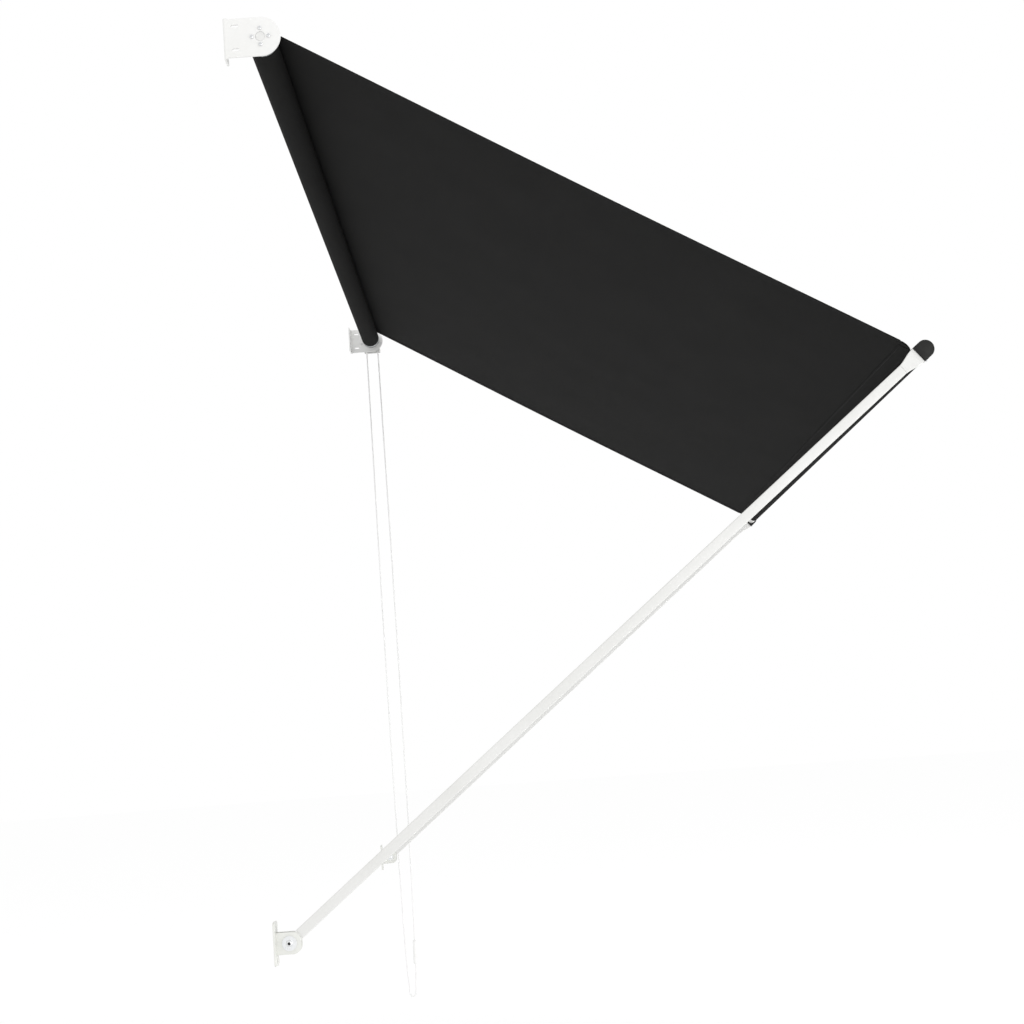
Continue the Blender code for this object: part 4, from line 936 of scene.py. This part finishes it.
def cloth_ring(name, half, inner, outer, thickness, place, body, node, layers=1, turn=0.0):
    """Cloth wound round a tube: each layer's edge shows at the ends as a fine step."""
    bm = bmesh.new()
    uv = bm.loops.layers.uv.new("UVMap")
    steps, run = RING_STEPS * layers, 0.0
    wound = [(turn - tau * i / RING_STEPS, outer - (outer - inner) * i / steps) for i in range(steps + 1)]
    lanes = [[bm.verts.new((x, r * cos(a), r * sin(a))) for a, r in wound] for x in (-half, half)]
    for i, (_, r) in enumerate(wound[:-1]):
        on = run + r * tau / RING_STEPS
        face = bm.faces.new([lanes[0][i], lanes[1][i], lanes[1][i + 1], lanes[0][i + 1]])
        for loop, at in zip(face.loops, ((-half, run), (half, run), (half, on), (-half, on))):
            loop[uv].uv = at
        run = on
    return fit(thicken(blank(name, bm, WOVEN_CLOTH), thickness, place), body, "dark_cloth", node)


# The wound turns are pressed thin, and the last one ends just under the cloth that leaves it.
LEAVING = 0.00002
LAP = 0.04
PRESSED = (PANEL_LOW - LEAVING - ROLL_INNER) / 3
roll_low = ROLL_INNER + PRESSED / 2
roll_high = roll_low + 2 * PRESSED
roll = cloth_ring("cloth_on_roller", CLOTH_HALF, roll_low, roll_high, PRESSED * 0.95, cloth_place, "roller",
                  "fabric_roll", layers=2, turn=pi / 2 + LAP)
arm_place = moved_to(0.0, -PIVOT_OUT, -PIVOT_DROP) @ Matrix.Rotation(pi / 2 - ARM_RISE, 4, "X")
bar_place = arm_place @ moved_to(0.0, 0.0, ARM_LENGTH)
SLEEVE_CLOTH = CLOTH * 0.9
sleeve_low = FRONT_RADIUS + SEAT + SLEEVE_CLOTH / 2
sleeve_high = sleeve_low + FOLD_GAP
sleeve = cloth_ring("front_sleeve", SLEEVE_HALF, sleeve_low, sleeve_high, SLEEVE_CLOTH, bar_place,
                    "arm_frame", "front_hem")

# The folded hems lie under the cloth. Each piece of cloth and each row of stitches gets a mesh of its own.
for piece in [panel, *stitches["over"]]:
    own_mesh(piece)
for piece in [*hems, *stitches["under"]]:
    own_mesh(piece)


# The front tube: white painted aluminium, 24 mm, inside the cloth's sleeve. Its ends go into the
# dark knuckles.
FRONT_WALL = 0.0015
KNUCKLE_OUTER = HALF_WIDTH - 0.010
KNUCKLE_WIDTH = 0.017
KNUCKLE_GRIP = 0.006
ARM_PLANE = KNUCKLE_OUTER - KNUCKLE_WIDTH / 2
# White lacquer on drawn aluminium.
PAINTED_TUBE = finish("white_lacquered_tube", (0.675, 0.675, 0.658), (0.710, 0.710, 0.697), 9.0,
                      (0.30, 0.42, 25.0), (900.0, 0.00002, 0.12))
front_half = KNUCKLE_OUTER - KNUCKLE_WIDTH + KNUCKLE_GRIP - SEAT
rims = [(-front_half, FRONT_RADIUS - FRONT_WALL), (-front_half, FRONT_RADIUS)]
rims += [(-x, r) for x, r in reversed(rims)]
front_tube = dress(blank("front_tube_painted", turned(rims, 64, True), PAINTED_TUBE), bar_place)
fit(front_tube, "arm_frame", "white_tube", "front_tube")


# The arms: two white rounded box tubes. Each has a moulded foot that turns on a bush in the wall
# bracket, and a moulded head that widens to the mouth of a dark knuckle on the front tube. A screw
# from below holds the head's tongue in the knuckle.
ARM_HALF = 0.009
ARM_THICK = 0.011
ARM_CORNER = 0.002
ARM_WALL = 0.0014
TUBE_JOINT = 0.0001
FOOT_SHOULDER = 0.022
FOOT_BORE = 0.0045
SPIGOT_LENGTH = 0.030
HEAD_LENGTH = 0.037
HEAD_HALF_MOUTH = 0.0155
HEAD_TOP = ARM_LENGTH - 0.0157 - SEAT
HEAD_SHOULDER = HEAD_TOP - HEAD_LENGTH
KNUCKLE_RADIUS = 0.016
TONGUE_LOW = ARM_THICK / 2 - 0.0064
TONGUE_HALF = 0.010
TONGUE_LENGTH = 0.0115
TONGUE_SCREW = ((TONGUE_LOW + ARM_THICK / 2) / 2, HEAD_TOP + 0.006)
SCREW_BITE = 0.007


def rounded_box(half_a, half_b, corner, steps=8):
    """A rectangle's outline with round corners, centred."""
    a, b = half_a - corner, half_b - corner
    corners = (((a, b), 0), ((-a, b), 90), ((-a, -b), 180), ((a, -b), 270))
    return [p for centre, deg in corners for p in arc(centre, corner, deg, deg + 90, steps)]


def upright_box(x, low, high):
    """A rectangle's outline, centred across."""
    return [(-x, low), (x, low), (x, high), (-x, high)]


def spigot(low, high):
    """The part of an end piece that goes into the arm's tube."""
    fit_in = ARM_WALL + SEAT
    return prism(rounded_box(ARM_THICK / 2 - fit_in, ARM_HALF - fit_in, ARM_CORNER / 2), "Z", low, high)


def head_outline(steps=24):
    """The head widens in a soft curve from the tube to the knuckle's mouth."""
    rise = []
    for i in range(steps + 1):
        t = i / steps
        swell = t * t * (3 - 2 * t)
        rise.append((ARM_HALF + (HEAD_HALF_MOUTH - ARM_HALF) * swell, HEAD_SHOULDER + HEAD_LENGTH * t))
    return rise + [(-y, z) for y, z in reversed(rise)]


# Each arm is made with Z from its pivot to the front tube.
foot = arc((0.0, 0.0), ARM_HALF, 180, 360, 40) + [(ARM_HALF, FOOT_SHOULDER), (-ARM_HALF, FOOT_SHOULDER)]
head = [(y, z + (SHEET if z > HEAD_TOP - SEAT else 0.0)) for y, z in head_outline()]
keep = upright_box(2 * HEAD_HALF_MOUTH, HEAD_SHOULDER - SHEET, HEAD_TOP)
tongue = upright_box(TONGUE_HALF, HEAD_TOP - SHEET, HEAD_TOP + TONGUE_LENGTH)
knuckle = arc((0.0, ARM_LENGTH), KNUCKLE_RADIUS, 0, 180, 56)
knuckle += [(-KNUCKLE_RADIUS, HEAD_TOP + SEAT), (KNUCKLE_RADIUS, HEAD_TOP + SEAT)]
bore = circle((0.0, ARM_LENGTH), FRONT_RADIUS + SEAT, 64)
pocket = upright_box(TONGUE_HALF + SEAT, HEAD_TOP - SHEET, HEAD_TOP + TONGUE_LENGTH + SEAT)
thick = (-ARM_THICK / 2, ARM_THICK / 2)
for side, end in ENDS:
    place = arm_place @ moved_to(ARM_PLANE, 0.0, 0.0, side)

    # The tube, between the foot's shoulder and the head's.
    low, high = FOOT_SHOULDER + TUBE_JOINT, HEAD_SHOULDER - TUBE_JOINT
    outside = rounded_box(ARM_THICK / 2, ARM_HALF, ARM_CORNER)
    inside = rounded_box(ARM_THICK / 2 - ARM_WALL, ARM_HALF - ARM_WALL, ARM_CORNER - ARM_WALL / 2)
    piece = blank(end + "_arm", prism(outside, "Z", low, high), PAINTED_TUBE, side)
    cut(piece, prism(inside, "Z", low - SHEET, high + SHEET), side)
    fit(dress(piece, place, 0.0002), "arm_frame", "white_tube", end + "_arm_tube")

    # The foot: an eye at the pivot, with a spigot up the tube.
    piece = blank(end + "_foot", prism(foot, "X", *thick), WHITE_MOULDING, side)
    cut(piece, rod(FOOT_BORE, -ARM_THICK, ARM_THICK), side)
    dress(piece, edge=0.0007)
    work(piece, "UNION", spigot(FOOT_SHOULDER - SHEET, FOOT_SHOULDER + SPIGOT_LENGTH), side)
    fit(dress(piece, place), "arm_frame", "white_plastic", end + "_arm_foot")
    smooth_copy(end + "_pivot_bush", end + "_bush", ZINC_PLATE, "arm_frame", "zinc_steel")

    # The head, with a spigot down the tube and a tongue in the knuckle.
    piece = blank(end + "_head", prism(head, "X", *thick), WHITE_MOULDING, side)
    dress(piece, edge=0.0012)
    work(piece, "INTERSECT", prism(keep, "X", -ARM_THICK, ARM_THICK), side)
    work(piece, "UNION", spigot(HEAD_SHOULDER - SPIGOT_LENGTH, HEAD_SHOULDER + SHEET), side)
    work(piece, "UNION", prism(tongue, "X", TONGUE_LOW, ARM_THICK / 2), side)
    cut(piece, rod(SCREW_HOLE, -2 * TONGUE_HALF, SEAT - 0.003, TONGUE_SCREW, 24, "Y"), side)
    fit(dress(piece, place), "arm_frame", "white_plastic", end + "_arm_head")

    # The knuckle: a round back, flat flanks, a bore for the front tube and a pocket for the tongue.
    half = KNUCKLE_WIDTH / 2
    piece = blank(end + "_end_piece", prism(knuckle, "X", -half, half), DARK_MOULDING, side)
    ease(piece, 0.0016, 4, 40.0)
    cuts = prism(bore, "X", -half - SHEET, -half + KNUCKLE_GRIP)
    cut(piece, extrude(cuts, pocket, "X", TONGUE_LOW - SEAT, ARM_THICK / 2 + SEAT), side)
    cut(piece, rod(SCREW_HOLE, -2 * KNUCKLE_RADIUS, 0.0, TONGUE_SCREW, 24, "Y"), side)
    fit(dress(piece, place), "arm_frame", "dark_plastic", end + "_knuckle")
    screw = pan_screw(KNUCKLE_RADIUS + SEAT - TONGUE_HALF + SCREW_BITE)
    screw.name = end + "_end_screw"
    place = place @ moved_to(TONGUE_SCREW[0], -KNUCKLE_RADIUS - SEAT, TONGUE_SCREW[1], side)
    screw.data.transform(place @ Matrix.Rotation(-pi / 2, 4, "Z"))
    fit(screw, "arm_frame", "zinc_steel", end + "_knuckle_screw")


# The arm brackets: a coated steel plate on the wall with two ears welded on. A button-head bolt
# with two washers and a lock nut holds the arm's foot between the ears.
EAR_INNER = 0.006
EAR_OUTER = EAR_INNER + SHEET
EAR_HALF = 0.0185
EAR_OUT = 0.0455
EAR_CORNER = 0.014
PLATE_HALF_WIDTH = 0.018
PLATE_HALF = 0.037
PLATE_CORNER = 0.006
PLATE_HOLE_UP = 0.028
BOLT_RADIUS = 0.003
BOLT_HOLE = 0.0033
BOLT_HEAD_RADIUS = 0.0055
BOLT_HEAD_HEIGHT = 0.0036
SOCKET_FLATS = 0.005
SOCKET_DEPTH = 0.003
WASHER = 0.0012
WASHERS = (("outer", EAR_OUTER + SEAT, 0.0125), ("inner", -EAR_OUTER - SEAT - WASHER, 0.009))
NUT_FACE = EAR_OUTER + WASHER + 2 * SEAT
NUT_HEIGHT = 0.005
NUT_FLATS = 0.010
WARM_COAT = finish("warm_powder_coat", (0.685, 0.690, 0.655), (0.720, 0.725, 0.692), **COATED)


# The bracket is made with the wall at Y = 0 and the pivot at height zero.
front, height = EAR_OUT - EAR_CORNER, EAR_HALF - EAR_CORNER
ear = [(-SHEET / 2, EAR_HALF)] + arc((-front, height), EAR_CORNER, 90, 180, 24)
ear += arc((-front, -height), EAR_CORNER, 180, 270, 24) + [(-SHEET / 2, -EAR_HALF)]
plate = rounded_box(PLATE_HALF_WIDTH, PLATE_HALF, PLATE_CORNER)
for side, end in ENDS:
    piece = blank(end + "_foot_bracket", prism(plate, "Y", -SHEET, 0.0), WARM_COAT, side)
    for low, high in ((EAR_INNER, EAR_OUTER), (-EAR_OUTER, -EAR_INNER)):
        work(piece, "UNION", prism(ear, "X", low, high), side)
    holes = rod(BOLT_HOLE, -PLATE_HALF_WIDTH, PLATE_HALF_WIDTH, (-PIVOT_OUT, 0.0), 32)
    points = [(0.0, -PLATE_HOLE_UP), (0.0, PLATE_HOLE_UP)]
    cut(piece, drill(holes, points, BOLT_HOLE, -2 * SHEET, SHEET, "Y", 32), side)
    dress(piece, moved_to(ARM_PLANE, 0.0, -PIVOT_DROP, side), 0.0004)
    fit(piece, "wall_frame", "white_steel", end + "_arm_bracket")

    # Bolt, washers and nut about X, with the bolt's head outwards.
    place = moved_to(ARM_PLANE, -PIVOT_OUT, -PIVOT_DROP, side)
    r, h = BOLT_HEAD_RADIUS, BOLT_HEAD_HEIGHT
    low = -NUT_FACE - NUT_HEIGHT
    tip = low - 0.002
    profile = [(tip, 0.0), (tip, 0.8 * BOLT_RADIUS), (tip + 0.0006, BOLT_RADIUS), (NUT_FACE, BOLT_RADIUS)]
    profile += [(NUT_FACE, r - 0.0002), (NUT_FACE + 0.0002, r)]
    profile += arc((NUT_FACE + 0.25 * h, 0.45 * r), 0.75 * h, 90, 0, 6, 0.55 * r) + [(NUT_FACE + h, 0.0)]
    bolt = blank(end + "_bolt", turned(profile, 48), ZINC_PLATE, side)
    top = NUT_FACE + h
    # The socket's walls take the recess finish, which is painted shade.
    cut(bolt, hexagon(SOCKET_FLATS, top - SOCKET_DEPTH, top + SHEET), side, RECESS_SHADE)
    fit(dress(bolt, place), "wall_frame", "zinc_steel", end + "_pivot_bolt")
    for name, face, radius in WASHERS:
        e = 0.00015
        rim = [(0.0, BOLT_HOLE), (0.0, radius - e), (e, radius)]
        rim = [(face + x, r) for x, r in rim] + [(face + WASHER - x, r) for x, r in reversed(rim)]
        washer = blank(f"{end}_{name}_pivot_washer", turned(rim, 64, True), ZINC_PLATE, side)
        fit(dress(washer, place), "wall_frame", "zinc_steel", f"{end}_{name}_washer")
    nut = blank(end + "_nut", hexagon(NUT_FLATS, low, -NUT_FACE), ZINC_PLATE, side)
    cone = [(low, 0.0), (low, 0.0046), (low + 0.0008, 0.006), (-NUT_FACE - 0.0005, 0.006)]
    work(nut, "INTERSECT", turned([*cone, (-NUT_FACE, 0.0052), (-NUT_FACE, 0.0)], 64), side)
    cut(nut, rod(BOLT_HOLE, low - SHEET, 0.0, sides=32), side)
    fit(dress(nut, place), "wall_frame", "zinc_steel", end + "_lock_nut")
